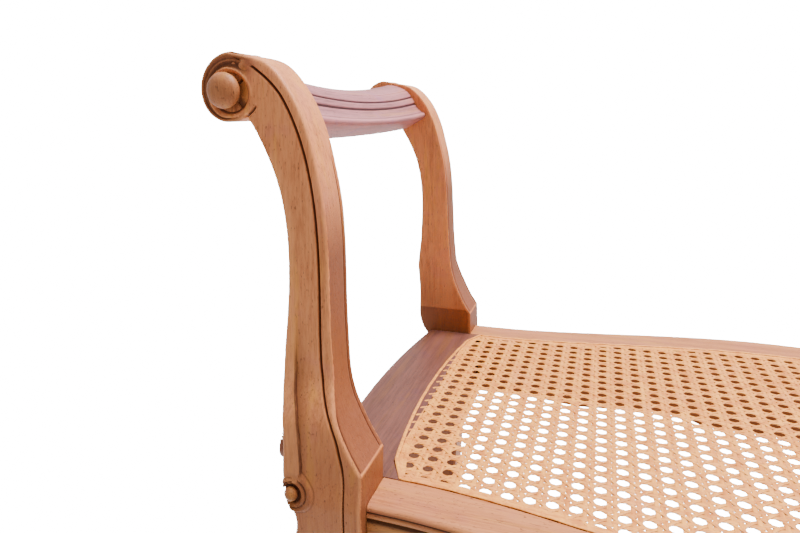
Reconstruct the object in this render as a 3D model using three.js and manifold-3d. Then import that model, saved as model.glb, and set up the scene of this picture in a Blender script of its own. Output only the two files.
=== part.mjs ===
// A caned hall bench with scrolled ends. Four uprights, each leg and post in one length of wood,
// carry two crest rails and four bowed seat rails round a woven cane seat.
// Millimetres, +X along the bench, +Y to the back, +Z up, origin on the floor under the middle.
import * as THREE from 'three';
import { mergeVertices } from 'three/addons/utils/BufferGeometryUtils.js';
import Module from 'manifold-3d';

const wasm = await Module();
wasm.setup();

// Driving dimensions
const seatHeight = 435;
const clearLength = 656;
const frameDepth = 375;
const armRise = 308;
const scrollReach = 123;
const halfClear = clearLength / 2;
const halfDepth = frameDepth / 2;

// Clearances
const jointGap = 0.3;
const overrun = 5;

// The upright: block at the seat, thinner post above it, and how far both lean in for each unit of
// rise. The block's show face swells out of the post's leaning plane, and a little more at its foot.
const blockWidth = 60.2;
const blockThickness = 34.8;
const blockProud = 10;
const blockProudTop = 95;
const blockProudRun = 40;
const footProud = 2.5;
const footProudTop = 25;
const blockDepth = blockThickness + blockProud + footProud;
const blockFront = halfDepth + blockProud + footProud;
const postThickness = 31.5;
// The upright's outer side spreads towards the inner face, most of all beside the block
const sideSpread = 5;
const sideSpreadStart = -20;
const sideSpreadRun = 45;
const sideSpreadEase = 60;
const sideSpreadEaseRun = 60;
const sideSpreadEaseShare = 0.7;
const sideReach = 15;
const sideReachRun = 40;
const flareStart = 33;
const flareRise = 42;
const leanShare = 0.0836;
const legWidth = 50.5;
const beadWidth = 7.5;
const quirkWidth = 2.6;
const quirkDepth = 2.2;
const bandWidth = 12.5;
const bandStep = 1.2;
const edgeRound = 1.6;
const outerRound = 3;

// The post's outer and inner edges above the block: reach out from the block's inner face as a share
// of the scroll's reach, then height over the seat as a share of the arm's rise
const outerEdgeShares = [
  [0.486, 0.09], [0.486, 0.143], [0.492, 0.194], [0.513, 0.273], [0.504, 0.37], [0.482, 0.47],
  [0.476, 0.571], [0.494, 0.659], [0.538, 0.731], [0.596, 0.785], [0.66, 0.833], [0.713, 0.868],
  [0.762, 0.893], [0.825, 0.91],
];
const innerEdgeShares = [
  [0, 0.088], [0.081, 0.138], [0.135, 0.187], [0.191, 0.266], [0.215, 0.37], [0.226, 0.47],
  [0.231, 0.571], [0.252, 0.662], [0.293, 0.744], [0.358, 0.824], [0.441, 0.893], [0.541, 0.949],
  [0.647, 0.985], [0.817, 1],
];
const postRings = 15;

// The leg below the seat: drop as a share of the seat's height, outer and inner reach as shares of
// the leg's width, front and back faces as shares of the block's depth, both from its inner faces
const blockEdgeShares = [
  [0, 1.14, 0, 1, 0], [0.01, 1.093, 0, 1, 0], [0.023, 1.027, 0, 1, 0], [0.09, 1.045, 0, 1, 0],
  [0.12, 1.06, 0, 1, 0],
];
const legEdgeShares = [
  [0.161, 1.095, 0, 0.99, 0], [0.218, 1.115, 0.119, 1.01, 0.022], [0.276, 1.105, 0.227, 1, 0.044],
  [0.368, 1.04, 0.317, 0.915, 0.04], [0.506, 0.943, 0.347, 0.767, 0.007],
  [0.69, 0.851, 0.337, 0.63, -0.015], [0.793, 0.843, 0.337, 0.61, -0.015],
  [0.885, 0.931, 0.376, 0.715, 0.03], [0.943, 1.087, 0.455, 0.863, 0.103],
  [0.982, 1.158, 0.543, 0.937, 0.177], [1, 1.109, 0.577, 0.894, 0.2],
];
const legRings = 10;
const legRound = 7;

// The scroll at the top of each post, with its turned boss set in a round recess
const scrollReachShare = 0.817;
const scrollRiseShare = 0.9153;
const scrollTopRadius = 26.1;
const scrollEndRadius = 19.4;
const scrollTurn = THREE.MathUtils.degToRad(235);
const scrollSteps = 22;
const backScrollDrop = 7;
const dropReach = 42;
const dropReachRun = 45;
const dropRise = 150;
const dropRiseRun = 80;
const recessRadius = 14.8;
const recessDepth = 4;
const bossRadius = 11.8;
const bossSide = 10.4;
const bossDome = 7;
const bossSpigotRadius = 4;
const bossSpigotLength = 8;
const roundSides = 12;

// The small volutes at the foot of the outer edge band, one on the face and one on the end
const voluteRadius = 12;
const faceVoluteProud = 2.2;
const endVoluteProud = 4.4;
const voluteRoot = 6;
const faceVoluteReach = 47;
const faceVoluteRise = 6;
const endVoluteRise = 33;
const endVoluteSetback = 7.5;
const eyeRadius = 6.2;
const eyeSide = 3;
const eyeDome = 4.2;
const eyeSpigotRadius = 2.5;
const eyeSpigotLength = 6;
const eyeRecessRadius = 7.6;
const eyeRecessDepth = 3;
const eyeShift = 6;
const eyeTurn = THREE.MathUtils.degToRad(28);
const eyeSides = 9;

// The seat rails
const railSetback = 12;
const railBow = 40;
const railBowStart = 20;
const railHeight = 70;
const railQuarterDrop = 9;
const railQuarterStart = 60;
const railQuarterRun = 90;
const railMiddleDrop = 16;
const railMiddleStart = 230;
const railMiddleRun = 60;
const railStations = 16;
const endRailSet = 53;
const endRailBow = 12;
const endRailHeight = 74;
const endRailDrop = 11;
const endRailStations = 8;
const arrisRun = 5.5;
const arrisDrop = 4;
const arrisShoulder = 2.2;
const arrisShoulderDrop = 1;
const railQuirk = 1.6;
const railQuirkHeight = 1.1;
const railBead = 4.2;
const railBeadCrown = 0.3;

// The cane seat: a net inside a border, lying in a rebate round the rails' inner edges
const railTopWidth = 35.5;
const railTopGain = 4;
const borderDepth = blockFront - railSetback - railTopWidth;
const borderBow = railBow - railTopGain;
const borderEndBow = 10.4;
const cornerRun = 13;
const cornerDrop = 22.5;
const ledgeWidth = 10;
const rebateDepth = 2;
const caneThickness = 1.6;
const canePitchX = 15.9;
const canePitchY = 13.8;
const strandsPerMesh = 2.2;
const gapWidthShare = 0.68;
const gapPointShare = 0.42;
const netMargin = 9;
const borderSteps = 10;
const bindingWidth = 5.5;
const bindingThickness = 1;

// The crest rail: corners of its section as shares of the scroll's reach and the arm's rise
const crestShares = [
  [0.75, 0.9645], [0.656, 0.956], [0.606, 0.943], [0.579, 0.934], [0.556, 0.9205], [0.5385, 0.9124],
  [0.524, 0.898], [0.489, 0.8795], [0.442, 0.866], [0.4254, 0.8596], [0.631, 0.811], [0.9, 0.912],
  [0.86, 0.945],
];
const crestTopShare = 0.956;
const crestUnderShare = 0.811;
const crestTopDip = 8.5;
const crestUnderDip = 2.5;
const crestStations = 8;

// Tenons and the pegs that lock them
const railTenonLength = 26;
const railTenonThickness = 10;
const railTenonTop = 14;
const railTenonHeight = 44;
const railTenonSetback = 17.5;
const endTenonLength = 24;
const endTenonReach = 42;
const crestTenonLength = 14;
const crestTenonWidth = 30;
const crestTenonThickness = 10;
const crestTenonReachShare = 0.683;
const crestTenonRiseShare = 0.89;
const crestTilt = THREE.MathUtils.degToRad(41.6);
const pegRadius = 3.5;
const railPegLength = 39;
const endPegLength = 22;
const pegProud = 0.4;
const pegInset = 14;
const pegSetback = 21;
const pegDrops = [25, 47];
const pegSides = 8;

// Finishes
const walnut = new THREE.MeshStandardMaterial({ color: 0xa8673b, roughness: 0.5, metalness: 0 });
const crestWood = new THREE.MeshStandardMaterial({ color: 0xa97f77, roughness: 0.4, metalness: 0 });
const endRailWood = new THREE.MeshStandardMaterial({ color: 0x8a5c4a, roughness: 0.45, metalness: 0 });
const pegWood = new THREE.MeshStandardMaterial({ color: 0x8c5530, roughness: 0.55, metalness: 0 });
const cane = new THREE.MeshStandardMaterial({ color: 0xe0aa66, roughness: 0.6, metalness: 0 });

const bench = new THREE.Group();

function smooth(value) {
  const t = Math.min(Math.max(value, 0), 1);
  return t * t * (3 - 2 * t);
}

function lean(rise) {
  return Math.max(rise, 0) * leanShare;
}

function frontFace(rise) {
  return halfDepth - lean(rise);
}

// The show face, with the block's swelling
function showFace(rise) {
  const swelling = blockProud * smooth((blockProudTop - rise) / blockProudRun);
  return frontFace(rise) + swelling + footProud * smooth((footProudTop - rise) / footProudTop);
}

function backFace(rise) {
  const flare = smooth((rise - flareStart) / flareRise);
  return frontFace(rise) - blockThickness + (blockThickness - postThickness) * flare;
}

// Flips every triangle where a geometry encloses its volume inside out
function facingOut(geometry) {
  const position = geometry.getAttribute('position');
  const corners = geometry.index.array;
  const a = new THREE.Vector3();
  const b = new THREE.Vector3();
  const c = new THREE.Vector3();
  let volume = 0;
  for (let i = 0; i < corners.length; i += 3) {
    a.fromBufferAttribute(position, corners[i]);
    b.fromBufferAttribute(position, corners[i + 1]);
    c.fromBufferAttribute(position, corners[i + 2]);
    volume += a.dot(b.cross(c));
  }
  if (volume < 0) {
    for (let i = 0; i < corners.length; i += 3) {
      [corners[i + 1], corners[i + 2]] = [corners[i + 2], corners[i + 1]];
    }
  }
  return geometry;
}

function welded(geometry) {
  const bare = new THREE.BufferGeometry();
  bare.setAttribute('position', geometry.getAttribute('position').clone());
  if (geometry.index) {
    bare.setIndex(geometry.index.clone());
  }
  return facingOut(mergeVertices(bare));
}

function solidOf(geometry) {
  const mesh = welded(geometry);
  const vertProperties = new Float32Array(mesh.getAttribute('position').array);
  const triVerts = new Uint32Array(mesh.index.array);
  return new wasm.Manifold(new wasm.Mesh({ numProp: 3, vertProperties, triVerts }));
}

function geometryOf(solid) {
  const mesh = solid.getMesh();
  const geometry = new THREE.BufferGeometry();
  geometry.setAttribute('position', new THREE.BufferAttribute(mesh.vertProperties, 3));
  geometry.setIndex(new THREE.BufferAttribute(mesh.triVerts, 1));
  return geometry;
}

// Triangles that fill a flat outline, turned the way the outline runs
function filled(outline) {
  const points = outline.map(([a, b]) => new THREE.Vector2(a, b));
  const turn = Math.sign(THREE.ShapeUtils.area(points));
  return THREE.ShapeUtils.triangulateShape(points, []).map(([a, b, c]) => {
    const face = [points[a], points[b], points[c]];
    return Math.sign(THREE.ShapeUtils.area(face)) === turn ? [a, b, c] : [c, b, a];
  });
}

// A closed body through a row of flat sections with equal numbers of corners
function loft(sections, place) {
  const count = sections[0].length;
  const positions = [];
  const index = [];
  sections.forEach((section, row) => {
    section.forEach(([a, b]) => positions.push(...place(row, a, b)));
  });
  for (let row = 0; row < sections.length - 1; row += 1) {
    for (let corner = 0; corner < count; corner += 1) {
      const next = (corner + 1) % count;
      const here = row * count;
      const there = here + count;
      index.push(here + corner, here + next, there + next);
      index.push(here + corner, there + next, there + corner);
    }
  }
  const end = (sections.length - 1) * count;
  filled(sections[0]).forEach(([a, b, c]) => index.push(c, b, a));
  filled(sections.at(-1)).forEach(([a, b, c]) => index.push(end + a, end + b, end + c));
  const geometry = new THREE.BufferGeometry();
  geometry.setAttribute('position', new THREE.Float32BufferAttribute(positions, 3));
  geometry.setIndex(index);
  return geometry;
}

function block(low, high) {
  const size = new THREE.Vector3().subVectors(high, low);
  const middle = new THREE.Vector3().addVectors(low, high).multiplyScalar(0.5);
  return new THREE.BoxGeometry(...size).translate(...middle);
}

function grownBlock(low, high, growth) {
  return block(low.clone().subScalar(growth), high.clone().addScalar(growth));
}

// A round bar whose axis starts at a point and runs along a direction
function bar(radius, length, start, direction, sides) {
  const geometry = new THREE.CylinderGeometry(radius, radius, length, sides);
  geometry.translate(0, length / 2, 0);
  const turn = new THREE.Quaternion().setFromUnitVectors(new THREE.Vector3(0, 1, 0), direction);
  return geometry.applyQuaternion(turn).translate(...start);
}

// A turned boss with a spigot behind it, its base at a point and its dome along a direction
function turnedBoss({ radius, side, dome }, spigot, start, direction, sides) {
  const spigotEnd = [[0, -spigot.length], [spigot.radius, -spigot.length], [spigot.radius, 0]];
  const outline = [...spigotEnd, [radius, 0]].map(([out, along]) => new THREE.Vector2(out, along));
  const domeSteps = 3;
  for (let step = 0; step < domeSteps; step += 1) {
    const angle = (step / domeSteps) * (Math.PI / 2);
    outline.push(new THREE.Vector2(radius * Math.cos(angle), side + dome * Math.sin(angle)));
  }
  outline.push(new THREE.Vector2(0, side + dome));
  const geometry = new THREE.LatheGeometry(outline, sides);
  const turn = new THREE.Quaternion().setFromUnitVectors(new THREE.Vector3(0, 1, 0), direction);
  return geometry.applyQuaternion(turn).translate(...start);
}

function curveOf(points) {
  return new THREE.CatmullRomCurve3(points, false, 'catmullrom', 0.5);
}

// Edge points of the post above its block, as places in the bench
function postEdge(shares) {
  return curveOf(shares.map(([reach, rise]) => (
    new THREE.Vector3(halfClear + reach * scrollReach, 0, seatHeight + rise * armRise)
  )));
}

// The moulded section of an upright: a across from its outer edge, b out to its show face
function uprightSection(width, back, front, relief) {
  const bead = Math.min(beadWidth, width / 4);
  const band = Math.min(bandWidth, width / 3);
  const lip = width - bead - quirkWidth;
  const step = bandStep * relief.band;
  const quirk = quirkDepth * relief.quirk;
  const round = relief.round;
  return [
    [round, back], [width, back], [width, front - edgeRound],
    [width - bead / 2, front], [width - bead, front - quirk / 4],
    [width - bead - quirkWidth / 2, front - quirk], [lip, front - quirk / 4],
    [(lip + band) / 2, front - step / 2], [band + quirkWidth, front - step], [band, front],
    [round, front], [0, front - round], [0, back + round],
  ];
}

function postRows() {
  const outer = postEdge(outerEdgeShares);
  const inner = postEdge(innerEdgeShares);
  const rows = [];
  for (let ring = 0; ring <= postRings; ring += 1) {
    const share = ring / postRings;
    const from = outer.getPoint(share);
    const to = inner.getPoint(share);
    const rise = (from.z + to.z) / 2 - seatHeight;
    const relief = { band: 1 - smooth(2 * share), quirk: 1, round: outerRound };
    const width = from.distanceTo(to);
    const back = backFace(rise) + lean(rise);
    const front = showFace(rise) + lean(rise);
    rows.push({ from, to, section: uprightSection(width, back, front, relief) });
  }
  return rows;
}

function legPlace([drop, outer, inner, front, back]) {
  const height = seatHeight * (1 - drop);
  const behind = halfDepth - blockThickness;
  return {
    from: new THREE.Vector3(halfClear + outer * legWidth, behind + front * blockDepth, height),
    to: new THREE.Vector3(halfClear + inner * legWidth, behind + back * blockDepth, height),
  };
}

function legRow(from, to, relief) {
  const width = from.x - to.x;
  const start = new THREE.Vector3(from.x, 0, from.z);
  const end = new THREE.Vector3(to.x, 0, to.z);
  return { from: start, to: end, section: uprightSection(width, to.y, from.y, relief) };
}

function legRows() {
  const places = legEdgeShares.map(legPlace);
  const outer = curveOf(places.map((place) => place.from));
  const inner = curveOf(places.map((place) => place.to));
  const rows = [];
  for (let ring = legRings; ring >= 0; ring -= 1) {
    const share = ring / legRings;
    const round = outerRound + (legRound - outerRound) * share;
    const relief = { band: 0, quirk: 1 - smooth(3 * share), round };
    rows.push(legRow(outer.getPoint(share), inner.getPoint(share), relief));
  }
  return rows;
}

function blockRows() {
  const relief = { band: 1, quirk: 1, round: outerRound };
  return [...blockEdgeShares].reverse().map((shares) => {
    const place = legPlace(shares);
    return legRow(place.from, place.to, relief);
  });
}

// The back uprights carry their scrolls lower than the front ones: the height of a point of theirs
function settled(x, z, drop) {
  const outward = smooth((x - halfClear - dropReach) / dropReachRun);
  return z - drop * outward * smooth((z - seatHeight - dropRise) / dropRiseRun);
}

// How much further out a point of an upright's side lies behind its show face
function spread(x, depth, rise) {
  const rising = smooth((rise - sideSpreadStart) / sideSpreadRun);
  const easing = 1 - sideSpreadEaseShare * smooth((rise - sideSpreadEase) / sideSpreadEaseRun);
  const behind = (showFace(rise) - depth) / (showFace(rise) - backFace(rise));
  const outward = smooth((x - halfClear - sideReach) / sideReachRun);
  return sideSpread * rising * easing * Math.min(Math.max(behind, 0), 1) * outward;
}

function uprightBody(drop) {
  const rows = [...legRows(), ...blockRows(), ...postRows()];
  return loft(rows.map((row) => row.section), (index, a, b) => {
    const { from, to } = rows[index];
    const across = new THREE.Vector3().subVectors(to, from).normalize();
    const place = from.clone().addScaledVector(across, a);
    const height = settled(place.x, place.z, drop);
    const rise = height - seatHeight;
    const depth = b - lean(rise);
    return [place.x + spread(place.x, depth, rise), depth, height];
  });
}

const scrollCentre = new THREE.Vector3(
  halfClear + scrollReachShare * scrollReach,
  0,
  seatHeight + scrollRiseShare * armRise,
);

function scrollDrum(drop) {
  const outline = [];
  for (let step = 0; step < scrollSteps; step += 1) {
    const angle = (step / scrollSteps) * 2 * Math.PI;
    const turned = Math.min(angle / scrollTurn, 1);
    const radius = scrollTopRadius + (scrollEndRadius - scrollTopRadius) * turned;
    const across = radius * Math.sin(angle);
    const up = radius * Math.cos(angle);
    outline.push([scrollCentre.x + across, scrollCentre.z + up - drop]);
  }
  return loft([outline, outline], (row, x, z) => {
    const rise = z - seatHeight;
    return [x, row === 0 ? backFace(rise) : frontFace(rise), z];
  });
}

const bossRecess = { radius: recessRadius, depth: recessDepth };
const bossSpigot = { radius: bossSpigotRadius, length: bossSpigotLength };
const eyeRecess = { radius: eyeRecessRadius, depth: eyeRecessDepth };
const eyeSpigot = { radius: eyeSpigotRadius, length: eyeSpigotLength };

// Where each round fitting sits on an upright, and the way it faces
function bossSeat(drop) {
  const rise = scrollCentre.z - seatHeight - drop;
  const direction = new THREE.Vector3(0, 1, leanShare).normalize();
  const face = new THREE.Vector3(scrollCentre.x, frontFace(rise), seatHeight + rise);
  return { face, direction, floor: face.clone().addScaledVector(direction, -recessDepth) };
}

function faceVoluteSeat() {
  const level = seatHeight + faceVoluteRise;
  return new THREE.Vector3(halfClear + faceVoluteReach, showFace(faceVoluteRise), level);
}

function faceEyeSeat() {
  const direction = new THREE.Vector3(Math.sin(eyeTurn), Math.cos(eyeTurn), 0);
  const face = faceVoluteSeat();
  face.x += eyeShift;
  return { face, direction, floor: face.clone().addScaledVector(direction, -eyeRecessDepth) };
}

function endEyeSeat() {
  const direction = new THREE.Vector3(1, 0, 0);
  const setback = halfDepth - endVoluteSetback;
  const face = new THREE.Vector3(halfClear + blockWidth, setback, seatHeight + endVoluteRise);
  const floor = face.clone().addScaledVector(direction, endVoluteProud - eyeRecessDepth);
  return { face, direction, floor };
}

// A round recess and a hole behind it for the spigot of the fitting that it holds
function socket(solid, seat, recess, spigot, sides) {
  const mouth = bar(recess.radius, recess.depth + overrun, seat.floor, seat.direction, sides);
  const behind = seat.floor.clone().addScaledVector(seat.direction, -spigot.length - jointGap);
  const hole = bar(spigot.radius + jointGap, spigot.length + overrun, behind, seat.direction, sides);
  return solid.subtract(solidOf(mouth)).subtract(solidOf(hole));
}

function volute(centre, direction, proud) {
  const start = centre.clone().addScaledVector(direction, -voluteRoot);
  return solidOf(bar(voluteRadius, voluteRoot + proud, start, direction, roundSides));
}

// Tenons: the lowest and highest corners of each at the front right of the bench, mirrored elsewhere
function railTenon() {
  const middle = halfDepth - railTenonSetback;
  const top = seatHeight - railTenonTop;
  return {
    low: new THREE.Vector3(halfClear - overrun, middle - railTenonThickness / 2, top - railTenonHeight),
    high: new THREE.Vector3(halfClear + railTenonLength, middle + railTenonThickness / 2, top),
  };
}

function endTenon() {
  const middle = halfClear + endTenonReach;
  const top = seatHeight - railTenonTop;
  const shoulder = halfDepth - blockThickness;
  return {
    low: new THREE.Vector3(middle - railTenonThickness / 2, shoulder - overrun, top - railTenonHeight),
    high: new THREE.Vector3(middle + railTenonThickness / 2, shoulder + endTenonLength, top),
  };
}

function crestTenon(growth) {
  const rise = crestTenonRiseShare * armRise;
  const shoulder = backFace(rise);
  const length = crestTenonLength + overrun + growth;
  const width = crestTenonWidth + 2 * growth;
  const geometry = new THREE.BoxGeometry(width, length, crestTenonThickness + 2 * growth);
  geometry.rotateY(-crestTilt);
  const reach = halfClear + crestTenonReachShare * scrollReach;
  return geometry.translate(reach, shoulder - overrun + length / 2, seatHeight + rise);
}

function pegPlaces() {
  const out = new THREE.Vector3(0, 1, 0);
  const along = new THREE.Vector3(1, 0, 0);
  const places = [];
  pegDrops.forEach((drop, index) => {
    const height = seatHeight - drop;
    const level = ['upper', 'lower'][index];
    const railStart = blockFront + pegProud - railPegLength;
    const rail = new THREE.Vector3(halfClear + pegInset, railStart, height);
    const endStart = halfClear + legWidth + pegProud - endPegLength;
    const end = new THREE.Vector3(endStart, halfDepth - pegSetback, height);
    places.push({ name: `rail_${level}`, start: rail, direction: out, length: railPegLength });
    places.push({ name: `end_${level}`, start: end, direction: along, length: endPegLength });
  });
  return places;
}

function withPegHoles(solid) {
  return pegPlaces().reduce((cut, { start, direction, length }) => {
    const from = start.clone().addScaledVector(direction, -jointGap);
    const hole = bar(pegRadius + jointGap, length + overrun, from, direction, pegSides);
    return cut.subtract(solidOf(hole));
  }, solid);
}

function upright(drop) {
  const out = new THREE.Vector3(0, 1, 0);
  let solid = solidOf(uprightBody(drop)).add(solidOf(scrollDrum(drop)));
  solid = solid.add(volute(faceVoluteSeat(), out, faceVoluteProud));
  solid = solid.add(volute(endEyeSeat().face, endEyeSeat().direction, endVoluteProud));
  solid = socket(solid, bossSeat(drop), bossRecess, bossSpigot, roundSides);
  [faceEyeSeat(), endEyeSeat()].forEach((seat) => {
    solid = socket(solid, seat, eyeRecess, eyeSpigot, eyeSides);
  });
  [railTenon(), endTenon()].forEach(({ low, high }) => {
    solid = solid.subtract(solidOf(grownBlock(low, high, jointGap)));
  });
  solid = solid.subtract(solidOf(crestTenon(jointGap)));
  return geometryOf(withPegHoles(solid));
}

// Plan curves, all for the quarter where x and y are positive
function bow(x) {
  return smooth((halfClear - Math.abs(x) - railBowStart) / (halfClear - railBowStart));
}

function railFace(x) {
  return blockFront - railSetback + railBow * bow(x);
}

function borderLine(x) {
  return borderDepth + borderBow * bow(x);
}

function railUnderside(x) {
  const from = halfClear - Math.abs(x);
  const quarter = railQuarterDrop * smooth((from - railQuarterStart) / railQuarterRun);
  return railHeight + quarter + railMiddleDrop * smooth((from - railMiddleStart) / railMiddleRun);
}

const borderEndDepth = borderDepth - cornerDrop;

function borderEndLine(y) {
  return halfClear + borderEndBow * (1 - (y / borderEndDepth) ** 2);
}

// The moulded section of a seat rail: out from its inner face to its show face, and up
function railSection(inner, face, underside) {
  const beadTop = -arrisDrop - railQuirkHeight;
  const beadFoot = beadTop - railBead;
  const points = [
    [inner, -underside], [face, -underside], [face, beadFoot - 2 * railQuirkHeight],
    [face - railQuirk, beadFoot - railQuirkHeight], [face - railBeadCrown, beadFoot + railQuirkHeight],
    [face - railBeadCrown, beadTop - railQuirkHeight], [face - railQuirk, beadTop],
    [face - railBeadCrown, -arrisDrop], [face - arrisShoulder, -arrisShoulderDrop],
    [face - arrisRun, 0], [inner, 0],
  ];
  return points.map(([out, up]) => [out, seatHeight + up]);
}

function evenly(count, half) {
  return Array.from({ length: count + 1 }, (_, index) => half * (2 * index / count - 1));
}

// The net's border as a closed outline, drawn in from the wood by a margin
function borderOutline(margin) {
  const quarter = [];
  const along = halfClear - cornerRun;
  for (let step = 0; step <= borderSteps; step += 1) {
    const x = along * (step / borderSteps);
    quarter.push([x, borderLine(x) - margin]);
  }
  for (let step = borderSteps / 2; step >= 0; step -= 1) {
    const y = borderEndDepth * (step / (borderSteps / 2));
    quarter.push([borderEndLine(y) - margin, y - margin * (y / borderEndDepth)]);
  }
  const outline = quarter.map(([x, y]) => new THREE.Vector2(x, y));
  const inside = quarter.slice(0, -1).reverse();
  const outer = quarter.slice(1);
  outline.push(...inside.map(([x, y]) => new THREE.Vector2(x, -y)));
  outline.push(...outer.map(([x, y]) => new THREE.Vector2(-x, -y)));
  outline.push(...inside.slice(0, -1).map(([x, y]) => new THREE.Vector2(-x, y)));
  return outline;
}

function seatPrism(outline, holes, bottom, thickness) {
  const shape = new THREE.Shape(outline);
  shape.holes = holes.map((hole) => new THREE.Path(hole));
  const geometry = new THREE.ExtrudeGeometry(shape, { depth: thickness, bevelEnabled: false });
  return geometry.translate(0, 0, bottom);
}

function rebate() {
  return solidOf(seatPrism(borderOutline(0), [], seatHeight - rebateDepth, rebateDepth + overrun));
}

function seatRail() {
  const ends = halfClear - jointGap;
  const stations = evenly(railStations, ends);
  const sections = stations.map((x) => {
    return railSection(borderLine(x) - ledgeWidth, railFace(x), railUnderside(x));
  });
  let solid = solidOf(loft(sections, (row, y, z) => [stations[row], y, z]));
  const { low, high } = railTenon();
  [1, -1].forEach(() => {
    solid = withPegHoles(solid.add(solidOf(block(low, high))));
    solid = solidOf(mirrored(geometryOf(solid), -1, 1));
  });
  return geometryOf(solid.subtract(rebate()));
}

function endRail() {
  const shoulder = halfDepth - blockThickness - jointGap;
  const stations = evenly(endRailStations, shoulder);
  const sections = stations.map((y) => {
    const arc = 1 - (y / shoulder) ** 2;
    const inner = borderEndLine(Math.min(Math.abs(y), borderEndDepth)) - ledgeWidth;
    const face = halfClear + endRailSet + endRailBow * arc;
    return railSection(inner, face, endRailHeight + endRailDrop * arc);
  });
  let solid = solidOf(loft(sections, (row, x, z) => [x, stations[row], z]));
  const { low, high } = endTenon();
  const corner = borderDepth - ledgeWidth - jointGap;
  const notchLow = new THREE.Vector3(0, corner, 0);
  const notchHigh = new THREE.Vector3(halfClear, halfDepth, seatHeight + overrun);
  [1, -1].forEach(() => {
    solid = solid.add(solidOf(block(low, high))).subtract(solidOf(block(notchLow, notchHigh)));
    solid = withPegHoles(solid);
    solid = solidOf(mirrored(geometryOf(solid), 1, -1));
  });
  return geometryOf(solid.subtract(rebate()));
}

// How far a line of the crest rail sinks at the rail's middle: the higher the line, the further
function crestDip(rise) {
  const share = (rise - crestUnderShare) / (crestTopShare - crestUnderShare);
  return crestUnderDip + (crestTopDip - crestUnderDip) * share;
}

// The crest rail runs between the posts' leaning inner faces and dips towards its middle
function crestRail() {
  const stations = evenly(crestStations, 1);
  const sections = stations.map((along) => {
    const arc = 1 - along ** 2;
    return crestShares.map(([reach, rise]) => (
      [halfClear + reach * scrollReach, seatHeight + rise * armRise - crestDip(rise) * arc]
    ));
  });
  const body = loft(sections, (row, x, z) => {
    return [x, stations[row] * (backFace(z - seatHeight) - jointGap), z];
  });
  let solid = solidOf(body).add(solidOf(crestTenon(0)));
  solid = solid.add(solidOf(mirrored(geometryOf(solidOf(crestTenon(0))), 1, -1)));
  return geometryOf(solid);
}

function netGap(x, y) {
  const halfX = (canePitchX * strandsPerMesh * gapWidthShare) / 2;
  const halfY = (canePitchY * strandsPerMesh * gapWidthShare) / 2;
  const flatX = halfX * (1 - gapPointShare);
  const far = [[halfX, 0], [flatX, halfY], [-flatX, halfY]];
  const near = far.map(([a, b]) => [-a, -b]);
  return [...far, ...near].map(([a, b]) => new THREE.Vector2(x + a, y + b));
}

function netGaps() {
  const pitchX = canePitchX * strandsPerMesh;
  const pitchY = canePitchY * strandsPerMesh;
  const columns = Math.floor((halfClear - netMargin) / pitchX);
  const rows = Math.floor((borderDepth + borderBow) / pitchY);
  const gaps = [];
  for (let column = -columns; column <= columns; column += 1) {
    for (let row = -rows; row <= rows; row += 1) {
      const gapOutline = netGap(column * pitchX, row * pitchY);
      const clear = gapOutline.every(({ x, y }) => {
        const withinDepth = Math.abs(y) < borderLine(x) - ledgeWidth;
        const endLine = borderEndLine(Math.min(Math.abs(y), borderEndDepth));
        const withinLength = Math.abs(x) < endLine - netMargin;
        return withinDepth && withinLength;
      });
      if (clear) {
        gaps.push(gapOutline);
      }
    }
  }
  return gaps;
}

function caneSeat() {
  const bottom = seatHeight - rebateDepth + jointGap;
  return welded(seatPrism(borderOutline(jointGap), netGaps(), bottom, caneThickness));
}

function caneBinding() {
  const bottom = seatHeight - rebateDepth + caneThickness + 2 * jointGap;
  const strip = seatPrism(borderOutline(jointGap), [], bottom, bindingThickness);
  const inside = borderOutline(jointGap + bindingWidth);
  const cut = seatPrism(inside, [], bottom - overrun, bindingThickness + 2 * overrun);
  return geometryOf(solidOf(strip).subtract(solidOf(cut)));
}

// A copy of a right-hand, back piece turned over to another side of the bench
function mirrored(geometry, sideX, sideY) {
  return welded(geometry.clone().scale(sideX, sideY, 1));
}

function addMesh(name, geometry, material) {
  const mesh = new THREE.Mesh(geometry, material);
  mesh.name = name;
  bench.add(mesh);
}

const corners = [
  ['front_left', -1, -1, 0], ['front_right', 1, -1, 0],
  ['back_left', -1, 1, backScrollDrop], ['back_right', 1, 1, backScrollDrop],
];

function scrollBoss(drop) {
  const boss = bossSeat(drop);
  const base = boss.floor.clone().addScaledVector(boss.direction, jointGap);
  const size = { radius: bossRadius, side: bossSide, dome: bossDome };
  return turnedBoss(size, bossSpigot, base, boss.direction, roundSides);
}

function addCornerPieces() {
  corners.forEach(([corner, sideX, sideY, drop]) => {
    addMesh(`upright_${corner}`, mirrored(upright(drop), sideX, sideY), walnut);
    addMesh(`scroll_boss_${corner}`, mirrored(scrollBoss(drop), sideX, sideY), walnut);
    [['face', faceEyeSeat()], ['end', endEyeSeat()]].forEach(([side, seat]) => {
      const base = seat.floor.clone().addScaledVector(seat.direction, jointGap);
      const eyeSize = { radius: eyeRadius, side: eyeSide, dome: eyeDome };
      const eye = turnedBoss(eyeSize, eyeSpigot, base, seat.direction, eyeSides);
      addMesh(`volute_eye_${corner}_${side}`, mirrored(eye, sideX, sideY), walnut);
    });
    pegPlaces().forEach(({ name, start, direction, length }) => {
      const peg = bar(pegRadius, length, start, direction, pegSides);
      addMesh(`peg_${corner}_${name}`, mirrored(peg, sideX, sideY), pegWood);
    });
  });
}

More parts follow.
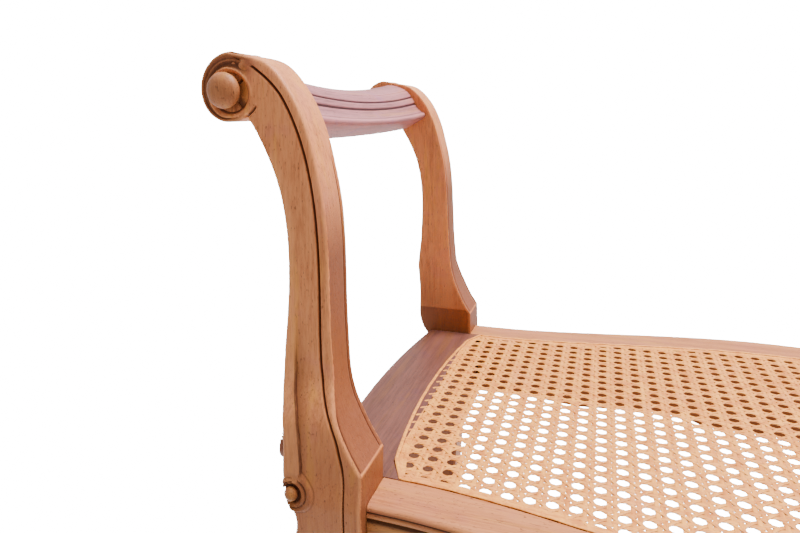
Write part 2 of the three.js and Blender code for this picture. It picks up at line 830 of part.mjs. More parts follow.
function addRails() {
  const longRail = seatRail();
  const shortRail = endRail();
  const crest = crestRail();
  addMesh('seat_rail_front', mirrored(longRail, 1, -1), walnut);
  addMesh('seat_rail_back', mirrored(longRail, 1, 1), walnut);
  [['left', -1], ['right', 1]].forEach(([side, sideX]) => {
    addMesh(`end_rail_${side}`, mirrored(shortRail, sideX, 1), endRailWood);
    addMesh(`crest_rail_${side}`, mirrored(crest, sideX, 1), crestWood);
  });
}

addCornerPieces();
addRails();
addMesh('cane_seat', caneSeat(), cane);
addMesh('cane_binding', caneBinding(), cane);

export default bench;
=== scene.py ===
import math

import bmesh
import bpy
import numpy as np
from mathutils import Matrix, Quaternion, Vector


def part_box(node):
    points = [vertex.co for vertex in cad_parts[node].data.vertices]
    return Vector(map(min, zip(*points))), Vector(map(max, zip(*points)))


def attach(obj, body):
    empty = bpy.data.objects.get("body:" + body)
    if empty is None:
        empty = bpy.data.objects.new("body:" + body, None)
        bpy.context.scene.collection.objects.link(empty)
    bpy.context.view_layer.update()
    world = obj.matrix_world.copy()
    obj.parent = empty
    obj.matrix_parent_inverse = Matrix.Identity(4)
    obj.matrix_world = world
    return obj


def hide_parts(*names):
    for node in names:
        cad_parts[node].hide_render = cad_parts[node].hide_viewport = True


bl_info = {
    "name": "Caned Hall Bench",
    "version": (1, 0, 0),
    "blender": (4, 5, 0),
    "location": "View3D > Sidebar > Hall Bench",
    "description": "Carved walnut uprights, fluted crest rails, bowed seat rails and a woven cane seat",
    "category": "Object",
}

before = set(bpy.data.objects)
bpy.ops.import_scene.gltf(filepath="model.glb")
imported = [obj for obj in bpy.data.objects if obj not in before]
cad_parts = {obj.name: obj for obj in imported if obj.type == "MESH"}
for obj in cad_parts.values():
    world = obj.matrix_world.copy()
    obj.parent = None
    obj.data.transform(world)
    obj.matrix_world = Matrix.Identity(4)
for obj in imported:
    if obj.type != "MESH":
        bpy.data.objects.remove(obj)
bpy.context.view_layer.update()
BODY = "root"
MM = 0.001
CORNERS = (("front_left", -1, -1), ("front_right", 1, -1), ("back_left", -1, 1), ("back_right", 1, 1))

SEAT_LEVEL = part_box("seat_rail_front")[1].z
BLOCK_INNER_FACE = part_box("upright_back_right")[0].x


def in_mm(metres):
    return metres / MM


# Sizes and colours that a user would change

def length(name, description, default):
    return bpy.props.FloatProperty(
        name=name, description=description, default=default, min=0.0, subtype="DISTANCE", unit="LENGTH"
    )


def colour(name, description, default):
    return bpy.props.FloatVectorProperty(
        name=name, description=description, default=default, min=0.0, max=1.0, size=3, subtype="COLOR"
    )


def share(name, description, default):
    return bpy.props.FloatProperty(name=name, description=description, default=default, min=0.0, max=4.0)


def light(name, description, default):
    return bpy.props.FloatProperty(name=name, description=description, default=default, min=0.0)


class BenchPlan(bpy.types.PropertyGroup):
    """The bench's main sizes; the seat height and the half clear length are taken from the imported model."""

    seat_height: length("Seat Height", "Floor to the top of the seat rails", SEAT_LEVEL)
    half_clear: length("Half Clear Length", "Middle of the bench to a block's inner face", BLOCK_INNER_FACE)
    half_depth: length("Half Depth", "Middle of the bench to the uprights' show faces at the seat", 0.1875)
    lean: share("Lean", "How far the posts lean in for each unit of height over the seat", 0.0836)


class CarvingSizes(bpy.types.PropertyGroup):
    """The carving on each upright."""

    block_thickness: length("Block Thickness", "Leaning plane of the show face to the inner face", 0.0348)
    block_proud: length("Block Proud", "How far the block's show face swells out of that plane", 0.010)
    foot_proud: length("Foot Proud", "How much further it swells at the block's foot", 0.0025)
    post_thickness: length("Post Thickness", "Upright above the seat, show face to inner face", 0.0315)
    groove_depth: length("Groove Depth", "Groove beside the bead on the show face", 0.0024)
    bead_crown: length("Bead Crown", "How far the bead rounds down at its sides", 0.0011)
    band_step: length("Band Step", "Step from the field up to the outer edge band", 0.0013)
    side_spread: length("Side Spread", "How far the outer side spreads behind the show face", 0.005)
    back_scroll_drop: length("Back Scroll Drop", "How much lower the back scrolls stand", 0.007)


class RailSizes(bpy.types.PropertyGroup):
    """The seat rails' plan and mouldings."""

    setback: length("Setback", "Show face of the blocks to a long rail's face at its ends", 0.012)
    bow: length("Bow", "How far a long rail bows out at its middle", 0.040)
    top_width: length("Top Width", "Wood beside the cane at a long rail's ends", 0.0355)
    top_gain: length("Top Gain", "How much wider that wood is at the middle", 0.004)
    end_set: length("End Set", "Block's inner face to an end rail's face at its ends", 0.053)
    end_bow: length("End Bow", "How far an end rail bows out at its middle", 0.012)
    joint_gap: length("Joint Gap", "Clearance where a rail meets a block", 0.0003)


class CaneSizes(bpy.types.PropertyGroup):
    """The woven seat."""

    pitch_along: length("Pitch Along", "Distance between pairs of strands along the bench", 0.01585)
    pitch_across: length("Pitch Across", "Distance between pairs of strands across the bench", 0.01385)
    strand_width: length("Strand Width", "Width of a strand in a pair", 0.0035)
    diagonal_width: length("Diagonal Width", "Width of a diagonal strand", 0.0029)
    strand_thickness: length("Strand Thickness", "Thickness of a strand at its middle", 0.0007)
    binder_width: length("Binder Width", "Width of the strip round the border", 0.0029)


class BenchFinishes(bpy.types.PropertyGroup):
    """The colours of wood, cane and floor."""

    walnut: colour("Walnut", "Waxed wood of the uprights and long rails", (0.75, 0.238, 0.082))
    # The light tone also colours the painted highlights on edges and ridges
    walnut_light: colour("Walnut Light", "Pale streaks and worn edges of that wood", (0.84, 0.320, 0.118))
    # The dark tone also colours the painted shade, and the wax and painted shade in the hollows
    walnut_dark: colour("Walnut Dark", "Dark streaks and wax in the hollows", (0.18, 0.048, 0.016))
    # The crest tone holds a painted lilac sheen besides the wood's own colour
    crest: colour("Crest Wood", "Bleached wood of the crest rails", (0.35, 0.127, 0.138))
    end_rail: colour("End Rail Wood", "Purplish wood of the end rails", (0.125, 0.044, 0.032))
    peg: colour("Peg Wood", "End grain of the pegs", (0.17, 0.07, 0.03))
    cane: colour("Cane", "Golden strands", (1.0, 0.40, 0.06))
    # The cane's dark tone also paints shade on the strands' sides
    cane_dark: colour("Cane Shade", "Darker strands and their sides", (0.66, 0.20, 0.03))
    floor: colour("Floor", "Pale studio floor", (0.9, 0.9, 0.9))


class StudioSizes(bpy.types.PropertyGroup):
    """Camera and light."""

    lens: bpy.props.FloatProperty(name="Lens", description="Focal length on a 36 mm sensor", default=25.908)
    heading: bpy.props.FloatProperty(
        name="Heading", description="Turn of the view from straight back to the left",
        default=math.radians(19.268), subtype="ANGLE", unit="ROTATION",
    )
    pitch: bpy.props.FloatProperty(
        name="Pitch", description="Tilt of the view below level",
        default=math.radians(15.099), subtype="ANGLE", unit="ROTATION",
    )
    roll: bpy.props.FloatProperty(
        name="Roll", description="Turn of the picture about its middle",
        default=math.radians(-0.793), subtype="ANGLE", unit="ROTATION",
    )
    place: bpy.props.FloatVectorProperty(
        name="Camera Place", description="Where the camera stands",
        default=(-0.18858, -0.50708, 0.70303), size=3, subtype="TRANSLATION", unit="LENGTH",
    )
    sky: light("Sky", "Strength of the soft light from all round", 1.15)
    front_share: light("Front Share", "How much of that light comes from in front", 0.5)
    right_share: light("Right Share", "How much of it comes from the right", 0.6)
    floor_share: light("Floor Share", "How much of it comes up from the floor", 2.4)
    backdrop: light("Backdrop", "Brightness of the backdrop in the picture", 20.0)
    key: light("Key Light", "Power of the soft light overhead", 120.0)
    floor_sun: light("Floor Sun", "Strength of the even light that only the floor takes", 62.0)


# Numbers and curves, in millimetres

# Keeps a division from meeting zero
TINY = 0.000001
# Points compared with a line at once
CHUNK = 2000


def smooth(value):
    t = np.clip(value, 0, 1)
    return t * t * (3 - 2 * t)


def curve(keys, steps, corners=()):
    """Points along a smooth curve through keys, with steps after each; it may turn at corners."""
    keys = np.array(keys, float)
    legs = np.maximum(np.linalg.norm(np.diff(keys, axis=0), axis=1), TINY)
    slopes = np.diff(keys, axis=0) / legs[:, None]
    turned = (slopes[:-1] * legs[1:, None] + slopes[1:] * legs[:-1, None]) / (legs[:-1] + legs[1:])[:, None]
    leaving = np.vstack([slopes[:1], turned, slopes[-1:]])
    arriving = leaving.copy()
    for corner in corners:
        leaving[corner] = slopes[corner]
        arriving[corner] = slopes[corner - 1]
    points = []
    for i, count in enumerate(steps):
        t = np.linspace(0, 1, count, endpoint=False)[:, None]
        points.append(
            (2 * t**3 - 3 * t**2 + 1) * keys[i] + (t**3 - 2 * t**2 + t) * legs[i] * leaving[i]
            + (3 * t**2 - 2 * t**3) * keys[i + 1] + (t**3 - t**2) * legs[i] * arriving[i + 1]
        )
    return np.vstack([*points, keys[-1:]])


def nearest(points, line):
    """Each point's distance from a line, its place along the line and its side of it."""
    start, step = line[:-1], np.diff(line, axis=0)
    span = np.maximum((step**2).sum(1), TINY**2)
    run = np.concatenate([[0], np.cumsum(np.sqrt(span))])
    away, along, side = (np.empty(len(points)) for _ in range(3))
    for low in range(0, len(points), CHUNK):
        part = points[low:low + CHUNK, None, :] - start
        t = np.clip((part * step).sum(2) / span, 0, 1)
        gap = part - t[..., None] * step
        distance = (gap**2).sum(2)
        best = distance.argmin(1)
        rows = np.arange(len(best))
        away[low:low + CHUNK] = np.sqrt(distance[rows, best])
        along[low:low + CHUNK] = run[best] + t[rows, best] * np.sqrt(span[best])
        cross = step[best, 0] * part[rows, best, 1] - step[best, 1] * part[rows, best, 0]
        side[low:low + CHUNK] = np.sign(cross)
    return away, along, side


def rounding(distance, radius):
    """How far a face falls away at a distance from its rounded edge."""
    inward = np.clip(1 - distance / np.maximum(radius, TINY), 0, 1)
    return radius * (1 - np.sqrt(np.maximum(1 - inward**2, 0)))


# Meshes

# Faces that meet at less than this angle are shaded as one smooth surface
SMOOTH_ANGLE = math.radians(38)
# Points closer together than this become one, in millimetres
WELD = 0.004
TURNED_SIDES = 48


def grid_faces(rows, columns, first=0, closed=False):
    """Four-sided faces of a grid of points, joined round its columns where closed."""
    corner = first + np.arange(rows * columns).reshape(rows, columns)
    if closed:
        corner = np.hstack([corner, corner[:, :1]])
    return np.stack(
        [corner[:-1, :-1], corner[:-1, 1:], corner[1:, 1:], corner[1:, :-1]], axis=-1
    ).reshape(-1, 4)


def new_piece(name, points, faces, finish, slot, weld=0.0, marks=None):
    """A mesh object on the bench's body, from points in millimetres."""
    mesh = bpy.data.meshes.new(name)
    mesh.from_pydata((np.asarray(points) * MM).tolist(), [], [list(map(int, face)) for face in faces])
    for mark, values in (marks or {}).items():
        layer = mesh.attributes.new(mark, "FLOAT", "POINT")
        layer.data.foreach_set("value", np.asarray(values, np.float32))
    shape = bmesh.new()
    shape.from_mesh(mesh)
    if weld:
        bmesh.ops.remove_doubles(shape, verts=shape.verts, dist=weld * MM)
        bmesh.ops.dissolve_degenerate(shape, dist=weld * MM, edges=shape.edges)
    bmesh.ops.recalc_face_normals(shape, faces=shape.faces)
    shape.to_mesh(mesh)
    shape.free()
    mesh.shade_smooth()
    mesh.set_sharp_from_angle(angle=SMOOTH_ANGLE)
    mesh.materials.append(finish)
    piece = bpy.data.objects.new(name, mesh)
    bpy.context.scene.collection.objects.link(piece)
    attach(piece, BODY)
    return piece


def swept_piece(name, rings, finish, slot, **options):
    """A closed piece through a row of rings, each with the same number of points."""
    rings = np.asarray(rings, float)
    rows, columns = rings.shape[:2]
    faces = grid_faces(rows, columns, closed=True).tolist()
    faces.append(list(range(columns))[::-1])
    faces.append(list(range((rows - 1) * columns, rows * columns)))
    return new_piece(name, rings.reshape(-1, 3), faces, finish, slot, **options)


def turned_piece(name, profile, base, direction, finish, slot):
    """A turned piece: profile rows are radius and height over the base, along a direction."""
    direction = Vector(direction).normalized()
    turn = np.array(Vector((0, 0, 1)).rotation_difference(direction).to_matrix())
    angles = np.linspace(0, 2 * math.pi, TURNED_SIDES, endpoint=False)
    round_line = np.stack([np.cos(angles), np.sin(angles), np.zeros(TURNED_SIDES)], axis=1)
    rings = [radius * round_line + (0, 0, height) for radius, height in profile]
    placed = [ring @ turn.T + np.array(base) for ring in rings]
    return swept_piece(name, placed, finish, slot)


# Shader trees

# The colour sockets of the Mix node, which share their names with others
MIX_FACTOR = 0
MIX_FIRST = 6
MIX_SECOND = 7
MIX_RESULT = 2


class Wire:
    """A shader socket that grows Math nodes where it is used in an expression."""

    def __init__(self, tree, socket):
        self.tree = tree
        self.socket = socket

    def _math(self, operation, *values):
        return self.tree.add("ShaderNodeMath", {"operation": operation}, dict(enumerate(values)))

    def __add__(self, other):
        return self._math("ADD", self, other)

    def __sub__(self, other):
        return self._math("SUBTRACT", self, other)

    def __rsub__(self, other):
        return self._math("SUBTRACT", other, self)

    def __mul__(self, other):
        return self._math("MULTIPLY", self, other)

    __radd__ = __add__
    __rmul__ = __mul__

    def above(self, low, high):
        """0 below low, 1 above high and smooth between them."""
        return self.tree.add(
            "ShaderNodeMapRange", {"interpolation_type": "SMOOTHSTEP"}, {0: self, 1: low, 2: high}
        )


class Tree:
    """The nodes of a material or of the world, added by one method."""

    def __init__(self, owner):
        owner.use_nodes = True
        self.nodes = owner.node_tree.nodes
        self.links = owner.node_tree.links

    def add(self, kind, settings, sockets, output=0):
        node = self.nodes.new(kind)
        for setting, value in settings.items():
            setattr(node, setting, value)
        self.feed(node, sockets)
        return Wire(self, node.outputs[output])

    def feed(self, node, sockets):
        for socket, value in sockets.items():
            if isinstance(value, Wire):
                self.links.new(value.socket, node.inputs[socket])
            else:
                node.inputs[socket].default_value = value


class Finish(Tree):
    """A material of wood, cane or the studio."""

    def __init__(self, name):
        self.material = bpy.data.materials.new(name)
        super().__init__(self.material)
        self.shader = self.nodes["Principled BSDF"]

    def place(self):
        return self.add("ShaderNodeTexCoord", {}, {}, output="Object")

    def stretched(self, place, scale, shift=(0.0, 0.0, 0.0)):
        moved = self.add("ShaderNodeVectorMath", {"operation": "ADD"}, {0: place, 1: shift})
        return self.add("ShaderNodeVectorMath", {"operation": "MULTIPLY"}, {0: moved, 1: scale})

    def noise(self, place, scale, detail=4.0, roughness=0.55, distortion=0.0):
        sockets = {"Vector": place, "Scale": scale, "Detail": detail, "Roughness": roughness}
        return self.add("ShaderNodeTexNoise", {}, {**sockets, "Distortion": distortion})

    def mark(self, name):
        return self.add("ShaderNodeAttribute", {"attribute_name": name}, {}, output="Fac")

    def mixed(self, factor, first, second):
        """The first colour, turning to the second as the factor goes to 1."""
        first, second = (tone if isinstance(tone, Wire) else (*tone, 1.0) for tone in (first, second))
        sockets = {MIX_FACTOR: factor, MIX_FIRST: first, MIX_SECOND: second}
        return self.add("ShaderNodeMix", {"data_type": "RGBA"}, sockets, output=MIX_RESULT)

    def bumped(self, height, distance):
        bump = self.add("ShaderNodeBump", {}, {"Strength": 1.0, "Distance": distance, "Height": height})
        self.feed(self.shader, {"Normal": bump})


def scaled(tone, factor):
    return tuple(min(part * factor, 1.0) for part in tone)


def warmed(tone):
    """A more golden tone."""
    red, green, blue = tone
    return red * 1.05, green * 1.08, blue * 0.55


def blushed(tone):
    """A pinker tone."""
    red, green, blue = tone
    return red * 0.95, green * 0.92, blue * 1.7


UNSTRETCHED = (1.0, 1.0, 1.0)
PORE_SHIFT = (0.31, 0.17, 0.53)
WARMTH_SHIFT = (0.71, 0.29, 0.13)
CANE_BLUSH = (0.88, 0.33, 0.10)
# Unwaxed wood under the cane, darkened as painted shade
SHADED_RAW_WOOD = (0.30, 0.10, 0.028)

# Scales that draw a pattern out along the grain
GRAIN_ALONG = {
    "x": (0.05, 1.0, 1.0),
    "y": (1.0, 0.05, 1.0),
    "z": (1.0, 1.0, 0.05),
}


class Grain:
    """The patterns that grow in a piece of wood, drawn out along one axis."""

    def __init__(self, finish, axis):
        place, along = finish.place(), GRAIN_ALONG[axis]
        drawn_out = finish.stretched(place, along)
        pore_place = finish.stretched(place, tuple(max(part, 0.2) for part in along), PORE_SHIFT)
        warmth_place = finish.stretched(drawn_out, UNSTRETCHED, WARMTH_SHIFT)
        self.figure = finish.noise(drawn_out, 60.0, detail=4.0, distortion=0.5)
        self.streaks = finish.noise(drawn_out, 560.0, detail=5.0, roughness=0.7)
        self.fibres = finish.noise(drawn_out, 2100.0, detail=3.0, roughness=0.75)
        self.pores = finish.noise(pore_place, 1150.0, detail=1.0).above(0.66, 0.74)
        self.clouds = finish.noise(place, 16.0, detail=4.0)
        self.warmth = finish.noise(warmth_place, 110.0, detail=3.0)
        self.rosiness = finish.noise(place, 38.0, detail=3.0)


def grown_tone(finish, grain, tones):
    """The wood's own colour, with pale and dark streaks, warm and rosy patches and pores."""
    middle, light, dark = tones
    figure, streaks = grain.figure, grain.streaks
    paleness = (figure * 0.45 + streaks * 0.75 + grain.clouds * 0.35 + grain.fibres * 0.45).above(0.72, 1.36)
    darkness = (1.0 - streaks * 0.6 - figure * 0.4).above(0.42, 0.72)
    tone = finish.mixed(paleness, middle, light)
    tone = finish.mixed(grain.warmth.above(0.5, 0.68) * 0.6, tone, warmed(light))
    tone = finish.mixed(grain.rosiness.above(0.54, 0.7) * 0.35, tone, blushed(middle))
    tone = finish.mixed(darkness * 0.55, tone, dark)
    return finish.mixed(grain.pores * 0.55, tone, scaled(dark, 0.7))


def wood_finish(name, tones, axis, gloss=0.42):
    """Waxed wood with its grain along an axis; tones are the middle, light and dark colours."""
    _, light, dark = tones
    finish = Finish(name)
    grain = Grain(finish, axis)
    streaks = grain.streaks
    names = ("blush_and_sheen", "shade", "worn_and_highlit", "hollow", "raw_and_shaded")
    blush_and_sheen, shade, worn_and_highlit, hollow, raw_and_shaded = (finish.mark(name) for name in names)
    tone = grown_tone(finish, grain, tones)
    # Painted pink sheen on the uprights' inner walls where that mark lies
    tone = finish.mixed(blush_and_sheen * (0.3 + grain.rosiness * 0.7), tone, blushed(light))
    # Painted shade where the shade mark lies
    tone = finish.mixed(shade * (0.6 + streaks * 0.5), tone, dark)
    # Painted highlights, partly wear: edges, ridges, the groove's lip, the ring and the band lighten towards
    # a paler tone
    tone = finish.mixed(worn_and_highlit * (0.25 + streaks * 0.7), tone, scaled(light, 1.25))
    # Wax and painted shade in the grooves, quirks, crevices and recesses where the hollow mark lies
    wax_and_shade = (hollow * (0.75 + streaks * 0.6)).above(0.22, 0.92)
    tone = finish.mixed(wax_and_shade * 0.9, tone, scaled(dark, 0.5))
    # Unwaxed wood under the cane, darkened further as painted shade
    tone = finish.mixed(raw_and_shaded * 0.9, tone, SHADED_RAW_WOOD)
    finish.feed(finish.shader, {
        "Base Color": tone,
        "Roughness": gloss + streaks * 0.16 - grain.clouds * 0.08 + raw_and_shaded * 0.4 + wax_and_shade * 0.2,
        "Specular IOR Level": 0.24,
    })
    finish.bumped(streaks * 0.5 + grain.fibres * 0.35 - grain.pores * 0.9, 0.00022)
    return finish.material


def cane_finish(name, tones, axis):
    """Glossy cane with pale and dark lengths; tones are the light and dark colours."""
    light, dark = tones
    finish = Finish(name)
    place = finish.stretched(finish.place(), GRAIN_ALONG[axis] if axis else UNSTRETCHED)
    lengths = finish.noise(place, 300.0, detail=2.0)
    patches = finish.noise(finish.place(), 85.0, detail=3.0)
    fibres = finish.noise(place, 1800.0, detail=2.0)
    blush_and_sheen = finish.noise(finish.place(), 30.0, detail=2.0).above(0.52, 0.7)
    edge = finish.mark("edge")
    shade = (lengths * 0.7 + patches * 0.6 + fibres * 0.25).above(0.6, 0.96)
    tone = finish.mixed(shade, light, dark)
    # Random rosy patches of the cane's own colour
    tone = finish.mixed(blush_and_sheen * 0.45, tone, CANE_BLUSH)
    # Painted shade along the sides of each strand and of the binder
    tone = finish.mixed(edge * 0.8, tone, scaled(dark, 0.5))
    finish.feed(finish.shader, {
        "Base Color": tone,
        "Roughness": 0.34 + fibres * 0.2,
        "Specular IOR Level": 0.3,
    })
    finish.bumped(fibres, 0.0001)
    return finish.material


def backdrop_finish(strength):
    finish = Finish("white_backdrop")
    finish.feed(finish.shader, {
        "Base Color": (0, 0, 0, 1), "Emission Color": (1, 1, 1, 1), "Emission Strength": strength,
    })
    return finish.material


def floor_finish(tone):
    finish = Finish("pale_floor")
    finish.feed(finish.shader, {"Base Color": (*tone, 1.0), "Roughness": 0.9, "Specular IOR Level": 0.1})
    return finish.material


# The upright, drawn for a corner: u out from the block's inner face and z up from the seat, in millimetres

# Each row: steps to the next row, outer edge u and z, inner edge u and z, bulge of the line between them
UPRIGHT_ROWS = (
    (3, 56.0, -435, 29.1, -435, 0),
    (6, 58.5, -427, 27.4, -427, 0),
    (6, 54.9, -410, 23.0, -410, 0),
    (8, 47.0, -385, 19.0, -385, 0),
    (9, 42.6, -345, 17.0, -345, 0),
    (14, 43.0, -300, 17.0, -300, 0),
    (12, 47.6, -220, 17.5, -220, 0),
    (9, 52.5, -160, 16.0, -160, 0),
    (6, 55.8, -120, 11.5, -120, 0),
    (7, 56.6, -95, 6.0, -95, 0),
    (8, 55.6, -70, 0, -70, 0),
    (14, 54.2, -40, 0, -40, 0),
    (14, 51.9, -10.5, 0, -14, 0),
    (7, 55.0, -4.8, 0, -6, 0),
    (7, 58.6, 2.6, 0, 3, 0),
    (12, 60.2, 10, 0, 12, 0),
    (12, 60.6, 24, 0, 26.4, 0),
    (10, 60.0, 36, 7.2, 38, 0),
    (9, 59.8, 50, 13.3, 50, 0),
    (9, 60.8, 67, 19.8, 66, 0),
    (10, 63.2, 85, 24.0, 84, 0),
    (10, 62.6, 105, 26.0, 105, 0),
    (10, 60.4, 130, 27.4, 130, 0),
    (10, 58.8, 155, 28.1, 158, 0),
    (10, 58.6, 177, 28.9, 183, 0),
    (11, 60.6, 200, 31.2, 209, 0),
    (10, 65.3, 221.5, 35.7, 232, 0),
    (13, 71.6, 238, 43.0, 258.5, 1.0),
    (12, 77.7, 250.3, 53.6, 280.2, 4.5),
    (14, 82.6, 258.8, 71.4, 300.0, 10.0),
    (0, 87.6, 266.0, 100.4, 308, 15.8),
)
ROOT_ROW = 10
RIDGE_ROW = 16
SCROLL_CENTRE = np.array([100.4, 281.9])
SCROLL_TOP_RADIUS = 26.1
SCROLL_FALL = 6.7
SCROLL_FALL_TURN = math.radians(182)
NOTCH = np.array([87.6, 266.0])
BLEND_TURN = math.radians(36)
RIM_STEPS = 90
# The fine ring round the scroll's recess: turn from the top in degrees, outward, and its radius
RING_LINE = (
    (-20, 15.1), (3, 15.5), (90, 16.2), (180, 16.9), (225, 18.0), (258, 17.8), (281, 16.8), (310, 15.3),
    (340, 15.1),
)
RECESS_DEPTH = 4.4
CREVICE_RADII = (20.4, 22.7)
CREVICE_TURN = math.radians(31)
CREVICE_STEPS = 20

# The dark groove beside the bead, from over the scroll down to the foot
GROOVE_LINE = (
    (96.6, 303.4), (91.0, 302.0), (84.6, 298.9), (77.8, 294.2), (70.1, 288.0), (62.4, 279.6),
    (56.8, 270.4), (51.6, 259.4),
    (45.6, 242.5), (41.6, 226.0), (38.9, 209.5), (36.9, 190.0), (35.7, 167.0), (35.3, 142.0),
    (35.2, 117.0), (33.6, 91.0), (31.2, 79.5), (27.0, 68.5), (22.6, 59.0), (18.9, 49.0), (16.6, 39.0),
    (14.5, 30.5), (13.3, 22.0), (12.7, 6.0), (12.8, -16.0), (13.3, -40.0), (14.8, -66.0), (19.0, -94.0),
    (24.0, -125.0), (27.0, -165.0), (27.5, -220.0), (25.6, -300.0), (25.6, -345.0), (28.5, -385.0),
    (33.5, -410.0),
)
# The same line carried on round the scroll's rim: turn in degrees, and how far inside the rim it runs
RIM_GROOVE = ((212, 3.4), (190, 2.6), (150, 2.4), (110, 2.5), (75, 2.9), (40, 3.6), (12, 4.1))
GROOVE_STEPS = 6
# The step between the field and the band along the outer edge
BAND_LINE = (
    (52.4, 150.0), (53.2, 118.0), (53.4, 96.0), (52.6, 81.0), (49.2, 67.0), (47.3, 54.0), (46.3, 38.0),
    (45.7, 23.0), (45.4, 14.0),
)
BAND_STEPS = 5
VOLUTE_EYE = np.array([52.5, 5.9])
# The small volute's edge: turn from straight up towards the inner side, and its distance from the eye
VOLUTE_EDGE = (
    (22, 18.3), (50, 17.3), (73, 17.9), (102, 17.5), (133, 16.3), (154, 14.7), (183, 13.0), (226, 12.1),
    (297, 12.3), (382, 10.9), (433, 11.5), (462, 11.5), (491, 10.8), (542, 9.8), (601, 9.0), (742, 8.6),
)
EYE_RECESS = 7.4
EYE_RECESS_DEPTH = 2.4
# Depth and height of the volute on the upright's end, and how far its disc stands out
END_VOLUTE = (180.0, 33.0)
END_VOLUTE_LIFT = 4.0

# The upright's faces: z, show face without its swelling, inner face, rounding of the outer and inner edge
FACE_ROWS = (
    (-435, 182.5, 162.1, 5.0, 4.0),
    (-427, 184.5, 161.0, 8.0, 4.0),
    (-410, 181.0, 157.6, 9.0, 4.0),
    (-385, 174.0, 154.1, 9.0, 4.0),
    (-345, 169.0, 152.0, 9.0, 4.0),
    (-300, 170.0, 152.0, 9.0, 4.0),
    (-220, 176.5, 153.0, 9.0, 4.0),
    (-160, 183.5, 154.6, 7.5, 3.6),
    (-120, 187.5, 154.8, 6.0, 3.0),
    (-95, 188.0, 153.7, 4.6, 2.6),
    (-70, 187.0, 152.7, 3.6, 2.2),
    (-40, 187.5, 152.7, 3.0, 2.2),
    (10, 187.5, 152.7, 2.8, 2.0),
    (33, 187.5, 152.7, 2.6, 1.2),
    (75, 187.5, 156.0, 2.4, 1.0),
    (150, 187.5, 156.0, 2.2, 1.0),
    (240, 187.5, 156.0, 2.0, 1.4),
    (320, 187.5, 156.0, 1.6, 1.6),
)


# How the carving eases in: each pair is where it starts, and how far on it is full
BLOCK_SWELL = (95, -40)
FOOT_SWELL = (25, -25)
BLOCK_SHADE = (85, -60)
EYE_RECESS_EDGE = (EYE_RECESS + 0.5, -1.0)
VOLUTE_SHADE = (19, -5)
RIM_START = (0, 6)
GROOVE_START = (0, 14)
GROOVE_FOOT = (-345, 60)
SLIM_GROOVE = (40, -20)
ROUND_GROOVE_END = (24, -20)
OUTER_HIGHLIGHT_START = (20, 20)
BAND_START = (0, 70)
BAND_END = (0, 9)
BAND_HIGHLIGHT_START = (0, 30)
COVE_TURNS = ((-72, 50), (220, -25))
RING_TURNS = ((-112, 25), (200, -50))
COVE_SHADE = (30, -6)
NARROW_COVE = (16, -8)
RECESS_WAX_AND_SHADE = (0.9, 3.0)
CREVICE_END = (13, -5)
SPREAD_START = (-20, 45)
SPREAD_EASE = (60, 60)
SPREAD_OUT = (15, 40)
DROP_OUT = (42, 45)
DROP_UP = (150, 80)

# Strips beside the carving's lines: how far off a strip's middle lies, and half its width
# The edge, groove and outer strips carry painted highlights; the band's strips carry wax and painted shade
EDGE_HIGHLIGHT = (1.2, 1.0)
GROOVE_HIGHLIGHT = (1.1, 0.5)
OUTER_HIGHLIGHT = (3.5, 3.0)
BAND_HOLLOW = (0.9, 1.7)
BAND_LINE_WAX_AND_SHADE = (0.4, 0.8)
BAND_SHADE = (3.0, 6.0)

# Sizes of the carving across its lines
RIM_ROUNDING = 1.4
BEAD_SLOPE = 1.7
BEAD_SLOPE_SLIM = 0.7
BEAD_SLOPE_ROUND = 0.5
FIELD_SLOPE = 0.8
FIELD_SLOPE_ROUND = 0.5
LOWEST_BEAD = -345
LOWEST_EDGE_WEAR = -60
INNER_TURN_LINE = 0.75
OUTER_TURN_LINE = 1.1
BAND_STEP_WIDTH = 1.4
COVE_DEPTH = 2.2
RING_HEIGHT = 0.6
RING_HALF_WIDTH = 0.75
RING_HIGHLIGHT_WIDTH = 0.65
DISH_EDGE = 0.6
DISH_FLOOR = 11.0
CREVICE_DEPTH = 2.4
CREVICE_HALF_WIDTH = 0.9
SPREAD_EASE_SHARE = 0.86
STRAIGHT_BULGE = 0.001
# How high the outer and the inner turn of a small volute stand
TURN_CROWNS = (1.7, 1.5)
# How much of the band's line is left plain at its upper and its lower end
BAND_TRIM = (0.5, 0.2)


def eased(value, reach):
    """0 before a reach starts, 1 where it is full and smooth between; its run may be negative."""
    start, run = reach
    return smooth((value - start) / run)


def scroll_radius(turn):
    """The scroll's radius at a turn from its top, outward and down to the notch."""
    falling = SCROLL_TOP_RADIUS - SCROLL_FALL * np.clip(turn / SCROLL_FALL_TURN, 0, 1)
    reach = np.linalg.norm(NOTCH - SCROLL_CENTRE)
    bottom = SCROLL_TOP_RADIUS - SCROLL_FALL
    return falling + (reach - bottom) * eased(turn, (SCROLL_FALL_TURN, BLEND_TURN))


def notch_turn():
    across, up = NOTCH - SCROLL_CENTRE
    return math.atan2(across, up) % (2 * math.pi)


def about_scroll(turn, radius):
    return SCROLL_CENTRE + np.stack([np.sin(turn), np.cos(turn)], axis=-1) * np.asarray(radius)[..., None]


def ridge(share):
    """A rounded ridge that rises and falls between the shares 0 and 1."""
    return np.sin(np.pi * np.clip(share, 0, 1)) ** 1.2


def line_near(distance, half_width):
    """1 on a line, fading to 0 about twice its half width away."""
    return np.exp(-((distance / half_width) ** 2))


def strip_near(distance, strip):
    """1 along the middle of a strip, which is given by its distance and its half width."""
    middle, half_width = strip
    return line_near(distance - middle, half_width)


def line_length(line):
    return np.linalg.norm(np.diff(line, axis=0), axis=1).sum()


